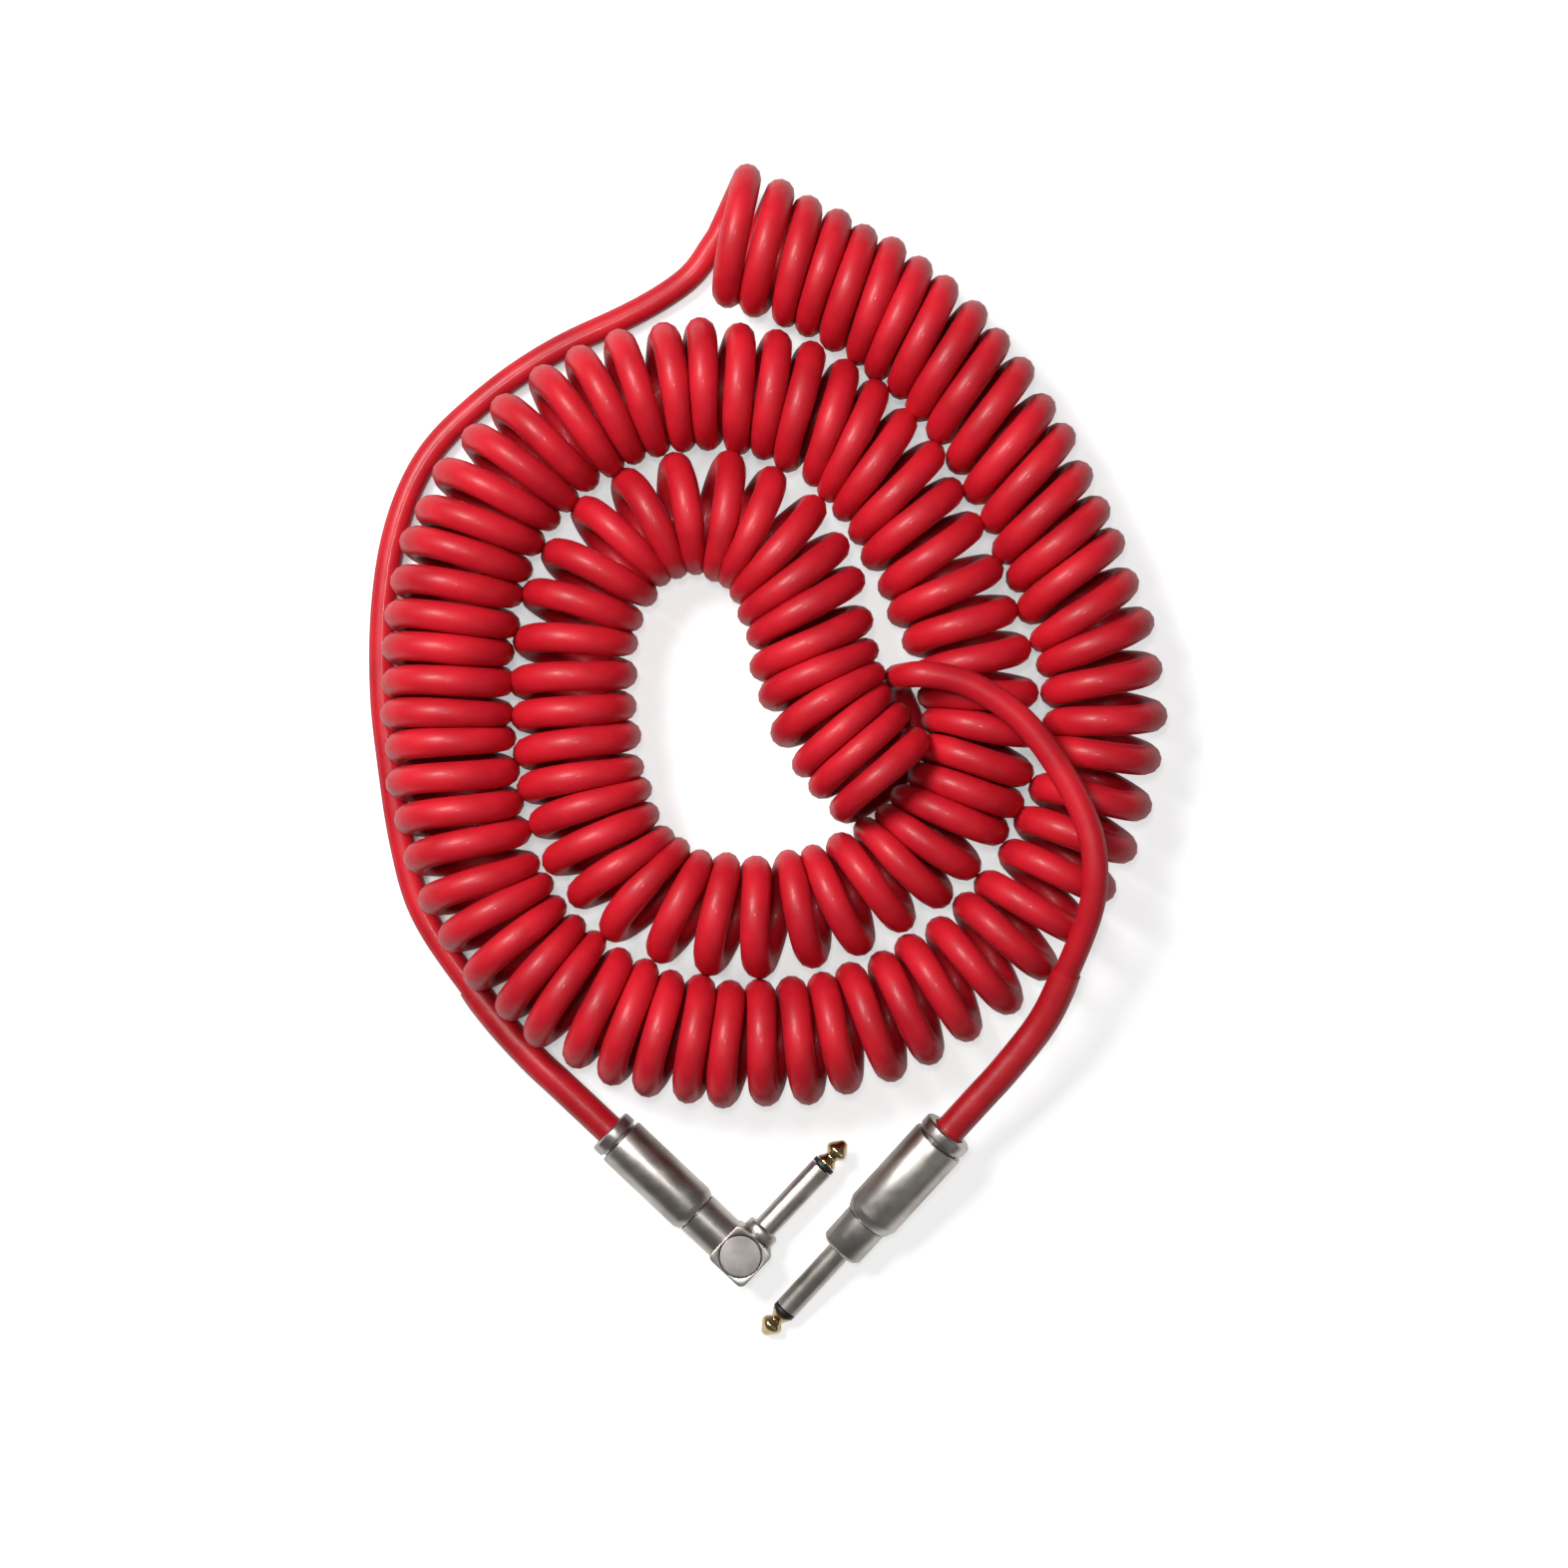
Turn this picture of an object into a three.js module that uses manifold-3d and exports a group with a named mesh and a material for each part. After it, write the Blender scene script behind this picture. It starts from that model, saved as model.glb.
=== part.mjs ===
// A curly instrument cable: a coiled cord laid in a loose spiral on a table, with a right-angle
// plug and a straight plug of quarter-inch size, both lying in front of the coil.
// Millimetres, +Z up. The table is z = 0, +X is to the right and +Y away from the plugs.

import * as THREE from 'three';
import { mergeVertices } from 'three/addons/utils/BufferGeometryUtils.js';
import Module from 'manifold-3d';

// ---------------------------------------------------------------- driving dimensions

const gap = 0.3; // clearance between pieces that touch on the real object

// cord and curls
const cordDiameter = 7.0;
const curlMeanRadius = 13.0; // from the coil's axis to the middle of the cord
const curlCount = 92; // in this solid, each as one turn of the tube
const tracedCurls = 112; // curls on the real cable between the first and the last axis point
const curlsPerPoint = 3; // each axis point below stands three traced curls after the one before
const stepsPerCurl = 8;
const coilSides = 5;
const leadSides = 8;
const leadSteps = 40; // in each of the two plain leads
const footCut = cordDiameter / 10; // depth of the flat where the curls stand on the table

// heat-shrunk sleeves on the cord behind the plugs
const sleeveClearance = 0.4; // between the cord and the sleeve, on the radius
const sleeveWall = 0.3;
const sleeveSides = 14;
const sleeveLength = 55; // seen behind the collar
const sleeveInside = 9; // and on inside it, as far as the clamp
const sleeveSteps = 9;

// quarter-inch jack contacts, measured from the shoulder towards the tip
const shankDiameter = 6.35;
const shankLength = 22.15;
const ringLength = 1.5; // black ring between shank and tip
const jackLength = 31.75; // shoulder to the end of the tip
const rodDiameter = 1.6; // tip rod inside the insulator
const insulatorWall = 0.7;

// straight plug
const barrelDiameter = cordDiameter + 8.1; // room for the cord, its clamp and the liner
const barrelWall = 1.55;
const frontDiameter = 12.2;
const frontLength = 11; // shoulder to the barrel's front edge
const straightLength = 44.2; // shoulder to the rear face of the collar
const spigotLength = 6.3;
const barrelTaper = 2.6; // length of the barrel's conical front
const barrelLip = 0.45; // wall left at the barrel's front edge

// right-angle plug
const elbowBarrelDiameter = cordDiameter + 6.9;
const elbowBarrelWall = 1.25;
const elbowBarrelTaper = 1.7;
const headWidth = 12.5;
const headHeight = 13.4;
const headCorner = 1.6;
const headBevel = 0.3;
const headToShoulder = 9.5; // from the barrel's axis to the shoulder
const headToCollarEnd = 48.5; // from the head's centre to the rear face of the collar
const headToStep = 16.5; // from the head's centre to the barrel's front edge
const shoulderDiameter = 9.4;
const shoulderLength = headToShoulder - headWidth / 2 - gap;
const capDiameter = 11.1;
const capThickness = 1.6;
const chamberDiameter = 10;

// rear collars, the same design on both plugs
const collarLength = 3.2;
const collarGroove = 1.0;
const collarSpigotLength = 5;
const collarStep = 0.4; // how much smaller the collar is than the barrel, on the radius

// inside both plugs
const linerWall = 0.5;
const lugThickness = 0.5;
const clampWall = 0.5;
const clampLength = 4;
const cordEndInset = 16; // from the collar's rear face in to the cut end of the jacket

// ---------------------------------------------------------------- places

// From the places below to the cable's own origin, on the table under the middle of both plugs.
const toOrigin = new THREE.Vector3(1.0, 118.6, 0);

// The axis of the coil as seen from above, one point every third curl, in the order in which
// the cord runs: round the outside once, then inside that loop, then up the middle.
const coilAxis = [
  [-12, 145.5], [10.5, 136], [30.7, 124.2], [49.5, 106.5], [65.5, 81], [76.5, 55.5], [86, 27.5],
  [82.2, -3.6], [66.8, -33.2], [41, -54.7], [13.5, -66.5], [-15.5, -69], [-41.5, -63.5],
  [-65.5, -48.5], [-81.5, -25.5], [-88, 2.5], [-89.5, 27], [-87, 52.5], [-76.5, 77], [-55, 97],
  [-29.5, 106], [-3.5, 103.5], [18.8, 90.8], [34, 69], [46, 41.5], [52, 14.5], [43.5, -8.5],
  [23, -26.5], [-7, -35.5], [-38, -28], [-52, -5.5], [-55.5, 19], [-54, 47.5], [-35, 71],
  [-6.5, 68], [6, 45.5], [10.5, 21.5], [25.5, 2.5],
];

// How far the curls lean along the axis, as [traced curl, millimetres].
const coilLean = [
  [1, 1], [4, 1], [7, 3.5], [13, 6], [16, 3.5], [19, -1.5], [22, -2.5], [25, -0.5],
  [28, -3.5], [34, -4.5], [37, -2.5], [40, -2.5], [43, -5.5], [49, -4], [52, -2], [55, 1],
  [58, -1], [61, -2.5], [64, 0.5], [67, 5], [70, 1.5], [73, -5], [76, -7], [79, 2.5],
  [82, 0], [85, -5.5], [88, -7], [91, -3.5], [97, -2], [101, -1], [106, 4], [109, 1.5],
  [112, -3],
];

// How much wider than the mean radius the curls are, as [traced curl, millimetres]: the lead
// has pulled the first ones open.
const coilWidening = [[0.5, 2.5], [1.5, 2.1], [4, 0]];

// How far the curls stand clear of the table, as [traced curl, millimetres]: the first one meets
// its lead at the lead's height, and the last ones lie on the cord's own end.
const coilRise = [[0.5, 0.6], [2.5, 0], [101, 0], [104, 2.0], [107, 6.3], [109, 8.7], [113, 9.2]];

// Straight plug: shoulder on its axis, and the way its tip points, with the tip on the table.
const straightShoulder = new THREE.Vector3(15.2, -125.2, 7.85);
const straightHeading = new THREE.Vector3(-0.665, -0.747, -0.1763);

// Right-angle plug: the head's centre, and the way its tip points. It lies flat.
const elbowCentre = new THREE.Vector3(-11.7, -126.4, 7.05);
const elbowHeading = new THREE.Vector3(0.685, 0.728, 0);

const straightRunLength = 21; // the sleeve stays straight this far behind the collar

// Lead from the right-angle plug to the first curl, after its straight run, [x, y, z].
const elbowLeadRoute = [
  [-66.5, -75.0, 6.6], [-76.8, -64.2, 5.2], [-85.6, -52.7, 4.4], [-94.1, -40.9, 3.8],
  [-99.4, -30.4, 3.6], [-102.2, -19.9, 3.6], [-104.4, -9.2, 3.6], [-105.9, 1.6, 3.6],
  [-107.3, 12.4, 3.6], [-108.4, 23.6, 3.6], [-108.6, 38.6, 3.6], [-107.9, 50.1, 3.6],
  [-106.4, 61.5, 3.6], [-103.7, 72.2, 3.6], [-99.5, 82.6, 3.6], [-93.5, 91.9, 3.6],
  [-85.4, 99.9, 3.6], [-76.7, 107.2, 3.6], [-69.0, 112.6, 3.6], [-61.4, 117.2, 3.6],
  [-53.8, 121.0, 3.6], [-46.2, 124.4, 3.6], [-38.6, 128.2, 3.6], [-31.8, 132.2, 3.6],
  [-25.8, 136.6, 3.6],
];

// Lead from the straight plug to the last curl, after its straight run, [x, y, z].
const straightLeadRoute = [
  [66.6, -66.3, 21.6], [71.0, -58.8, 23.8], [74.4, -50.7, 26.2], [76.8, -44.6, 28.8],
  [79.3, -37.6, 32.0], [81.2, -29.9, 35.2], [81.5, -20.6, 36.9], [80.2, -12.8, 36.9],
  [77.5, -5.7, 36.9], [73.6, 1.6, 36.9], [68.9, 8.9, 36.9], [63.7, 15.4, 36.9],
  [57.2, 21.1, 36.9], [50.7, 25.1, 36.9], [45.4, 27.3, 36.9], [40.2, 28.4, 36.9],
  [35.2, 28.8, 36.0], [32.4, 28.6, 32.0], [30.6, 28.4, 25.0], [29.6, 28.0, 17.5],
  [30.0, 26.4, 10.5], [32.0, 22.4, 5.6], [34.2, 17.0, 4.0], [34.6, 11.0, 3.8],
  [32.2, 4.6, 3.9], [28.0, -0.6, 3.9], [22.2, -4.6, 5.6], [17.8, -7.2, 10.7],
];

// ---------------------------------------------------------------- materials

function finish(colour, roughness, metalness) {
  return new THREE.MeshStandardMaterial({ color: colour, roughness, metalness });
}

const redJacket = finish(0xc41e2a, 0.42, 0.0);
const redSleeve = finish(0xb01a24, 0.5, 0.0);
const satinNickel = finish(0xb4b0aa, 0.3, 1.0);
const brightNickel = finish(0xc9c5be, 0.2, 1.0);
const gold = finish(0xb89a5a, 0.22, 1.0);
const blackPlastic = finish(0x161616, 0.5, 0.0);
const paleNylon = finish(0xd8d4c8, 0.6, 0.0);
const tinnedBrass = finish(0xa9a08a, 0.35, 1.0);
const solder = finish(0x9a9a98, 0.4, 1.0);
const bareCopper = finish(0xb06a3c, 0.35, 1.0);
const whiteCore = finish(0xe8e4dc, 0.55, 0.0);

// ---------------------------------------------------------------- solids

const wasm = await Module();
wasm.setup();

/** Turn a closed three.js geometry into a solid that can be cut. */
function toSolid(geometry) {
  const plain = geometry.clone();
  plain.deleteAttribute('normal');
  plain.deleteAttribute('uv');
  const merged = mergeVertices(plain, 1e-4);
  const vertProperties = new Float32Array(merged.attributes.position.array);
  const triVerts = new Uint32Array(merged.index.array);
  return new wasm.Manifold(new wasm.Mesh({ numProp: 3, vertProperties, triVerts }));
}

/** Turn a cut solid back into a geometry. */
function toGeometry(solid) {
  const mesh = solid.getMesh();
  const geometry = new THREE.BufferGeometry();
  geometry.setAttribute('position', new THREE.BufferAttribute(mesh.vertProperties, 3));
  geometry.setIndex(new THREE.BufferAttribute(mesh.triVerts, 1));
  return geometry;
}

/** Join the first geometry with the others. */
function joined(first, ...others) {
  return toGeometry(others.reduce((solid, other) => solid.add(toSolid(other)), toSolid(first)));
}

/** Cut the others out of the first geometry. */
function cut(first, ...others) {
  return toGeometry(others.reduce((solid, other) => solid.subtract(toSolid(other)), toSolid(first)));
}

/** A turned piece about +Y. Each outline point is [radius, height]. */
function turned(outline, segments = 24) {
  return new THREE.LatheGeometry(outline.map(([r, y]) => new THREE.Vector2(r, y)), segments);
}

/** A turned piece with a bore: its outline closes on itself. */
function bored(outline, segments = 24) {
  return turned([...outline, outline[0]], segments);
}

/** A plain ring about +Y. */
function ring(bore, radius, rear, front, segments = 24) {
  return bored([[bore, rear], [radius, rear], [radius, front], [bore, front]], segments);
}

/** A box from one corner to the other. */
function block(x0, x1, y0, y1, z0, z1) {
  const box = new THREE.BoxGeometry(x1 - x0, y1 - y0, z1 - z0);
  return box.translate((x0 + x1) / 2, (y0 + y1) / 2, (z0 + z1) / 2);
}

/** A cylinder about +Z. */
function upright(radius, z0, z1, segments = 24) {
  const cylinder = new THREE.CylinderGeometry(radius, radius, z1 - z0, segments);
  return cylinder.rotateX(Math.PI / 2).translate(0, 0, (z0 + z1) / 2);
}

function piece(name, geometry, material) {
  const mesh = new THREE.Mesh(geometry, material);
  mesh.name = name;
  return mesh;
}

// ---------------------------------------------------------------- plug pieces

const shankRadius = shankDiameter / 2;
const rodRadius = rodDiameter / 2;
const insulatorBore = rodRadius + gap;
const insulatorRadius = insulatorBore + insulatorWall;
const contactBore = insulatorRadius + gap;
const cordRadius = cordDiameter / 2;
const sleeveBore = cordRadius + sleeveClearance;
const sleeveRadius = sleeveBore + sleeveWall;
const collarBore = sleeveRadius + gap + 0.1;
const ringRear = shankLength + gap;
const ringFront = shankLength + ringLength;

/** Tip contact: the ball, its neck and cone, and the rod through the insulator. */
function tipContact(rodEnd) {
  const base = ringFront + gap;
  return turned([
    [0, rodEnd], [rodRadius, rodEnd], [rodRadius, base], [2.75, base], [2.35, base + 0.9],
    [1.75, base + 2.1], [1.75, base + 2.5], [2.6, base + 3.4], [3.0, base + 4.2],
    [2.9, base + 4.9], [1.3, jackLength - 0.4], [0.7, jackLength], [0, jackLength],
  ], 20);
}

/** The black ring behind the tip and the tube that keeps the rod off the shank. */
function insulator(tubeEnd) {
  return bored([
    [insulatorBore, tubeEnd], [insulatorRadius, tubeEnd], [insulatorRadius, ringRear],
    [shankRadius, ringRear], [shankRadius, ringFront], [insulatorBore, ringFront],
  ], 20);
}

/** Lug on the end of the tip rod: an eye about the rod and a tab with a wire hole. */
function tipLug(front) {
  const rear = front - lugThickness;
  const tabTop = 2.1;
  const eye = ring(insulatorBore, tabTop, rear, front, 16);
  const tab = block(-1.2, 1.2, rear - 4.6, front - 0.05, tabTop - lugThickness, tabTop);
  const hole = upright(0.55, 0, 2 * tabTop, 10).translate(0, rear - 3.4, 0);
  return cut(joined(eye, tab), hole);
}

/** Ground lug: a tongue that steps down to the clamp bent round the jacket, along -Y. */
function groundTongue(front, cordEnd, depth, width) {
  const clampBore = cordRadius + gap;
  const clampRadius = clampBore + clampWall;
  const clampFront = cordEnd - 1.5;
  const clampRear = clampFront - clampLength;
  const step = cordEnd + 2 * gap;
  const half = width / 2;
  const band = ring(clampBore, clampRadius, clampRear, clampFront, 20);
  const opening = block(-1.6, 1.6, clampRear - 1, clampFront + 1, 0, clampRadius + 1);
  const foot = -clampRadius - 0.1;
  const strip = block(-half, half, clampRear + 0.5, step + lugThickness, foot, -clampBore - 0.05);
  const riser = block(-half, half, step, step + lugThickness, foot, -depth + lugThickness);
  const tongue = block(-half, half, step, front, -depth, -depth + lugThickness);
  return joined(cut(band, opening), strip, riser, tongue);
}

/** Screw-on barrel with a conical front, from its front edge back to the collar's groove. */
function barrel(radius, wall, front, rear, taper) {
  const bore = radius - wall;
  const edge = 0.5;
  return bored([
    [bore, rear], [radius - edge, rear], [radius, rear + edge], [radius, front - taper],
    [bore + barrelLip, front], [bore, front],
  ], 28);
}

/** Rear collar: a flange behind a groove, with a spigot in the barrel. */
function collar(radius, wall, rear) {
  const flangeFront = rear + collarLength;
  const grooveFront = flangeFront + collarGroove;
  const spigotRadius = radius - wall - gap;
  const edge = 0.35;
  const flange = radius - collarStep;
  return bored([
    [collarBore, rear], [flange - edge, rear], [flange, rear + edge], [flange, flangeFront - edge],
    [flange - edge, flangeFront], [flange - 0.9, flangeFront], [flange - 0.9, grooveFront - gap],
    [spigotRadius, grooveFront - gap], [spigotRadius, grooveFront + collarSpigotLength],
    [collarBore, grooveFront + collarSpigotLength],
  ], 28);
}

function liner(barrelRadius, wall, front, rear) {
  const radius = barrelRadius - wall - gap;
  return ring(radius - linerWall, radius, rear, front, 20);
}

/** The stripped core, along the axis from the jacket's cut end to the lug. */
function coreWire(rear, front) {
  return turned([[0, rear], [0.9, rear], [0.9, front], [0, front]], 10);
}

/** The screen, twisted into one strand under the core. */
function screenPigtail(rear, front, depth) {
  return turned([[0, rear], [0.6, rear], [0.5, front], [0, front]], 8).translate(0, 0, -depth);
}

/** A drop of solder where the core meets the tip lug. */
function solderDrop(at) {
  return new THREE.SphereGeometry(0.75, 8, 6).translate(0, at, 0.25);
}

// ---------------------------------------------------------------- straight plug

function straightPlug() {
  const plug = new THREE.Group();
  const radius = barrelDiameter / 2;
  const bore = radius - barrelWall;
  const spigotRadius = bore - gap;
  const front = frontDiameter / 2;
  const ledge = -frontLength + gap;
  const bodyRear = ledge - spigotLength;
  const lugRing = bodyRear - gap;
  const washerFront = lugRing - lugThickness - 2 * gap;
  const washerRear = washerFront - 0.7;
  const lugFront = washerRear - gap;
  const barrelRear = -straightLength + collarLength + collarGroove;
  const cordEnd = -straightLength + cordEndInset;

  const body = bored([
    [contactBore, bodyRear], [spigotRadius - 0.3, bodyRear], [spigotRadius, bodyRear + 0.4],
    [spigotRadius, ledge], [front, ledge], [front, -0.9], [front - 0.9, 0], [shankRadius, 0],
    [shankRadius, shankLength], [contactBore, shankLength],
  ], 28);
  plug.add(piece('straight_tip_contact', tipContact(lugFront - lugThickness - 0.6), gold));
  plug.add(piece('straight_insulator', insulator(lugRing - lugThickness - gap), blackPlastic));
  plug.add(piece('straight_body', body, satinNickel));

  const groundEye = ring(contactBore, 4.6, lugRing - lugThickness, lugRing, 20);
  const tongue = groundTongue(lugRing - 0.05, cordEnd, 4.4, 3.0);
  plug.add(piece('straight_ground_lug', joined(groundEye, tongue), tinnedBrass));
  plug.add(piece('straight_rear_washer', ring(insulatorBore, 3.5, washerRear, washerFront, 16), paleNylon));
  plug.add(piece('straight_tip_lug', tipLug(lugFront), tinnedBrass));
  plug.add(piece('straight_solder_joint', solderDrop(lugFront - 2.9), solder));
  plug.add(piece('straight_core_wire', coreWire(cordEnd + gap, lugFront - 4.0), whiteCore));
  plug.add(piece('straight_screen_pigtail', screenPigtail(cordEnd + gap, lugFront - 2.2, 2.5), bareCopper));

  const linerRear = barrelRear + collarSpigotLength + gap;
  const shell = barrel(radius, barrelWall, -frontLength, barrelRear, barrelTaper);
  plug.add(piece('straight_barrel', shell, satinNickel));
  plug.add(piece('straight_rear_collar', collar(radius, barrelWall, -straightLength), brightNickel));
  plug.add(piece('straight_liner', liner(radius, barrelWall, bodyRear - gap, linerRear), paleNylon));
  return plug;
}

// ---------------------------------------------------------------- right-angle plug

/** The rounded block of the elbow's head, centred on the crossing of the two axes. */
function headBlock() {
  const half = headWidth / 2;
  const corner = headCorner;
  const outline = new THREE.Shape();
  outline.moveTo(-half + corner, -half);
  outline.lineTo(half - corner, -half);
  outline.absarc(half - corner, -half + corner, corner, -Math.PI / 2, 0);
  outline.lineTo(half, half - corner);
  outline.absarc(half - corner, half - corner, corner, 0, Math.PI / 2);
  outline.lineTo(-half + corner, half);
  outline.absarc(-half + corner, half - corner, corner, Math.PI / 2, Math.PI);
  outline.lineTo(-half, -half + corner);
  outline.absarc(-half + corner, -half + corner, corner, Math.PI, Math.PI * 1.5);
  const bevel = headBevel;
  const block3d = new THREE.ExtrudeGeometry(outline, {
    depth: headHeight - 2 * bevel,
    bevelEnabled: true,
    bevelThickness: bevel,
    bevelSize: bevel,
    bevelOffset: -bevel,
    bevelSegments: 1,
    curveSegments: 4,
    steps: 1,
  });
  return block3d.translate(0, 0, -headHeight / 2 + bevel);
}

/** The jack side: shank with its shoulder ring, in the head's wall. +Y points to the tip. */
function elbowJack() {
  const jack = new THREE.Group();
  const shoulder = shoulderDiameter / 2;
  const tailRadius = 3.0;
  const chamberEdge = -headToShoulder + chamberDiameter / 2;
  const tailRear = chamberEdge + 0.2;
  const washerFront = tailRear - gap;
  const washerRear = washerFront - 0.6;
  const lugFront = washerRear - gap;
  const shank = bored([
    [contactBore, tailRear], [tailRadius, tailRear], [tailRadius, -shoulderLength],
    [shoulder - 0.3, -shoulderLength], [shoulder, -shoulderLength + 0.3], [shoulder, -0.6],
    [shoulder - 0.6, 0], [shankRadius, 0], [shankRadius, shankLength], [contactBore, shankLength],
  ], 24);
  jack.add(piece('elbow_tip_contact', tipContact(lugFront - lugThickness - 0.5), gold));
  jack.add(piece('elbow_insulator', insulator(tailRear), blackPlastic));
  jack.add(piece('elbow_shank', shank, satinNickel));
  jack.add(piece('elbow_rear_washer', ring(insulatorBore, 2.6, washerRear, washerFront, 16), paleNylon));
  jack.add(piece('elbow_tip_lug', tipLug(lugFront), tinnedBrass));
  jack.position.set(0, headToShoulder, 0);
  return jack;
}

/** The barrel side, turned about +Y with the head's centre at y = 0 and the cord at -Y. */
function elbowBarrelSide() {
  const side = new THREE.Group();
  const radius = elbowBarrelDiameter / 2;
  const barrelRear = -headToCollarEnd + collarLength + collarGroove;
  const spigotRear = -headToStep + gap - spigotLength;
  const cordEnd = -headToCollarEnd + cordEndInset;
  const linerRear = barrelRear + collarSpigotLength + gap;
  side.add(piece('elbow_ground_lug', groundTongue(-6.2, cordEnd, 3.4, 2.4), tinnedBrass));
  side.add(piece('elbow_core_wire', coreWire(cordEnd + gap, -4.2), whiteCore));
  side.add(piece('elbow_solder_joint', solderDrop(-2.9), solder));
  side.add(piece('elbow_screen_pigtail', screenPigtail(cordEnd + gap, -9, 2.0), bareCopper));
  const shell = barrel(radius, elbowBarrelWall, -headToStep, barrelRear, elbowBarrelTaper);
  side.add(piece('elbow_barrel', shell, satinNickel));
  side.add(piece('elbow_rear_collar', collar(radius, elbowBarrelWall, -headToCollarEnd), brightNickel));
  side.add(piece('elbow_liner', liner(radius, elbowBarrelWall, spigotRear - gap, linerRear), paleNylon));
  return side;
}

/** Elbow housing: head, neck and the threaded spigot that the barrel screws on to. */
function elbowHousing() {
  const front = frontDiameter / 2;
  const spigotRadius = elbowBarrelDiameter / 2 - elbowBarrelWall - gap;
  const ledge = headToStep - gap;
  const neckBore = 4.0;
  const neckStart = headWidth / 2 - 1;
  const neck = turned([
    [0, neckStart], [front, neckStart], [front, ledge], [spigotRadius, ledge],
    [spigotRadius, ledge + spigotLength], [0, ledge + spigotLength],
  ], 28).rotateZ(Math.PI / 2);
  const neckHole = turned([
    [0, 0], [neckBore, 0], [neckBore, ledge + spigotLength + 1], [0, ledge + spigotLength + 1],
  ], 20).rotateZ(Math.PI / 2);
  const jackHole = turned([
    [0, 0], [3.0 + gap, 0], [3.0 + gap, headWidth], [0, headWidth],
  ], 20);
  const top = headHeight / 2;
  const chamber = upright(chamberDiameter / 2, -top + 1.6, top + 1, 24);
  const capSeat = upright(capDiameter / 2 + gap, top - capThickness, top + 1, 28);
  return cut(joined(headBlock(), neck), neckHole, jackHole, chamber, capSeat);
}

function elbowPlug() {
  const plug = new THREE.Group();
  const top = headHeight / 2;
  const cap = upright(capDiameter / 2, top - capThickness + gap, top + 0.35, 28);
  plug.add(piece('elbow_housing', elbowHousing(), satinNickel));
  plug.add(piece('elbow_cap', cap, satinNickel));
  plug.add(elbowJack());
  const side = elbowBarrelSide();
  side.rotation.z = -Math.PI / 2;
  plug.add(side);
  return plug;
}

// ---------------------------------------------------------------- placing the plugs

/** Stand a plug at a place with its +Y along the heading and its +Z as far up as it goes. */
function placed(group, place, heading) {
  const y = heading.clone().normalize();
  const x = y.clone().cross(new THREE.Vector3(0, 0, 1)).normalize();
  const z = x.clone().cross(y);
  group.position.copy(place);
  group.quaternion.setFromRotationMatrix(new THREE.Matrix4().makeBasis(x, y, z));
  return group;
}

/** Where the cord's axis stands, by its distance behind the plug's own zero. */
function behindStraight(distance) {
  return straightShoulder.clone().addScaledVector(straightHeading.clone().normalize(), -distance);
}

function behindElbow(distance) {
  const forward = elbowHeading.clone().normalize();
  const sideways = forward.cross(new THREE.Vector3(0, 0, 1)).normalize();
  return elbowCentre.clone().addScaledVector(sideways, -distance);
}

// ---------------------------------------------------------------- curly cord

/** Read a list of [traced curl, value], eased from each entry to the next. */
function readList(list, count) {
  const next = list.findIndex(([at]) => at > count);
  if (next === 0) return list[0][1];
  if (next < 0) return list[list.length - 1][1];
  const [at0, value0] = list[next - 1];
  const [at1, value1] = list[next];
  const share = (count - at0) / (at1 - at0);
  const eased = share * share * (3 - 2 * share);
  return value0 + (value1 - value0) * eased;
}

/** A smooth line past the axis points: a uniform cubic B-spline that all but meets each one. */
class AxisLine {
  constructor(spots) {
    this.last = spots.length - 1;
    const ends = [
      spots[0].clone().multiplyScalar(2).sub(spots[1]),
      spots[this.last].clone().multiplyScalar(2).sub(spots[this.last - 1]),
    ];
    const around = [ends[0], ...spots, ends[1]];
    const pushed = spots.map((spot, i) => spot.clone().multiplyScalar(8)
      .sub(around[i]).sub(around[i + 2]).divideScalar(6));
    this.spots = [ends[0], ...pushed, ends[1]];
  }

  /** The place and the unit direction at a share of the way, in axis points from the first. */
  at(place) {
    const inside = Math.min(Math.max(place, 0), this.last);
    const span = Math.min(Math.floor(inside), this.last - 1);
    const w = inside - span;
    const v = 1 - w;
    const weights = [v ** 3, 3 * w ** 3 - 6 * w ** 2 + 4, 3 * v ** 3 - 6 * v ** 2 + 4, w ** 3];
    const slopes = [-(v ** 2), 3 * w ** 2 - 4 * w, 4 * v - 3 * v ** 2, w ** 2];
    const point = new THREE.Vector3();
    const along = new THREE.Vector3();
    for (let i = 0; i < 4; i += 1) {
      point.addScaledVector(this.spots[span + i], weights[i] / 6);
      along.addScaledVector(this.spots[span + i], slopes[i] / 2);
    }
    point.addScaledVector(along, place - inside);
    return { point, along: along.normalize() };
  }
}

const axisLine = new AxisLine(coilAxis.map(([x, y]) => new THREE.Vector3(x, y, 0)));
const mitre = 1 / Math.cos(Math.PI / stepsPerCurl);
const coilSideReach = cordRadius * Math.sin((2 * Math.PI) / coilSides) * mitre;
const up = new THREE.Vector3(0, 0, 1);

/** The coil's axis and the curls' radius at a traced curl, carried on straight past either end. */
function axisAt(count) {
  const { point, along } = axisLine.at((count - 1) / curlsPerPoint);
  const radius = curlMeanRadius + readList(coilWidening, count);
  point.z = radius + coilSideReach - footCut + readList(coilRise, count);
  return { point, along, radius };
}

/** The middle of the cord at a traced curl; whole numbers are the tops of the curls. */
function curlPoint(count, turns) {
  const angle = 2 * Math.PI * turns;
  const { point, along, radius } = axisAt(count);
  const inward = along.clone().cross(up);
  point.addScaledVector(up, radius * Math.cos(angle));
  point.addScaledVector(inward, radius * Math.sin(angle));
  point.addScaledVector(along, (readList(coilLean, count) / 2) * Math.sin(angle));
  return point;
}

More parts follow.
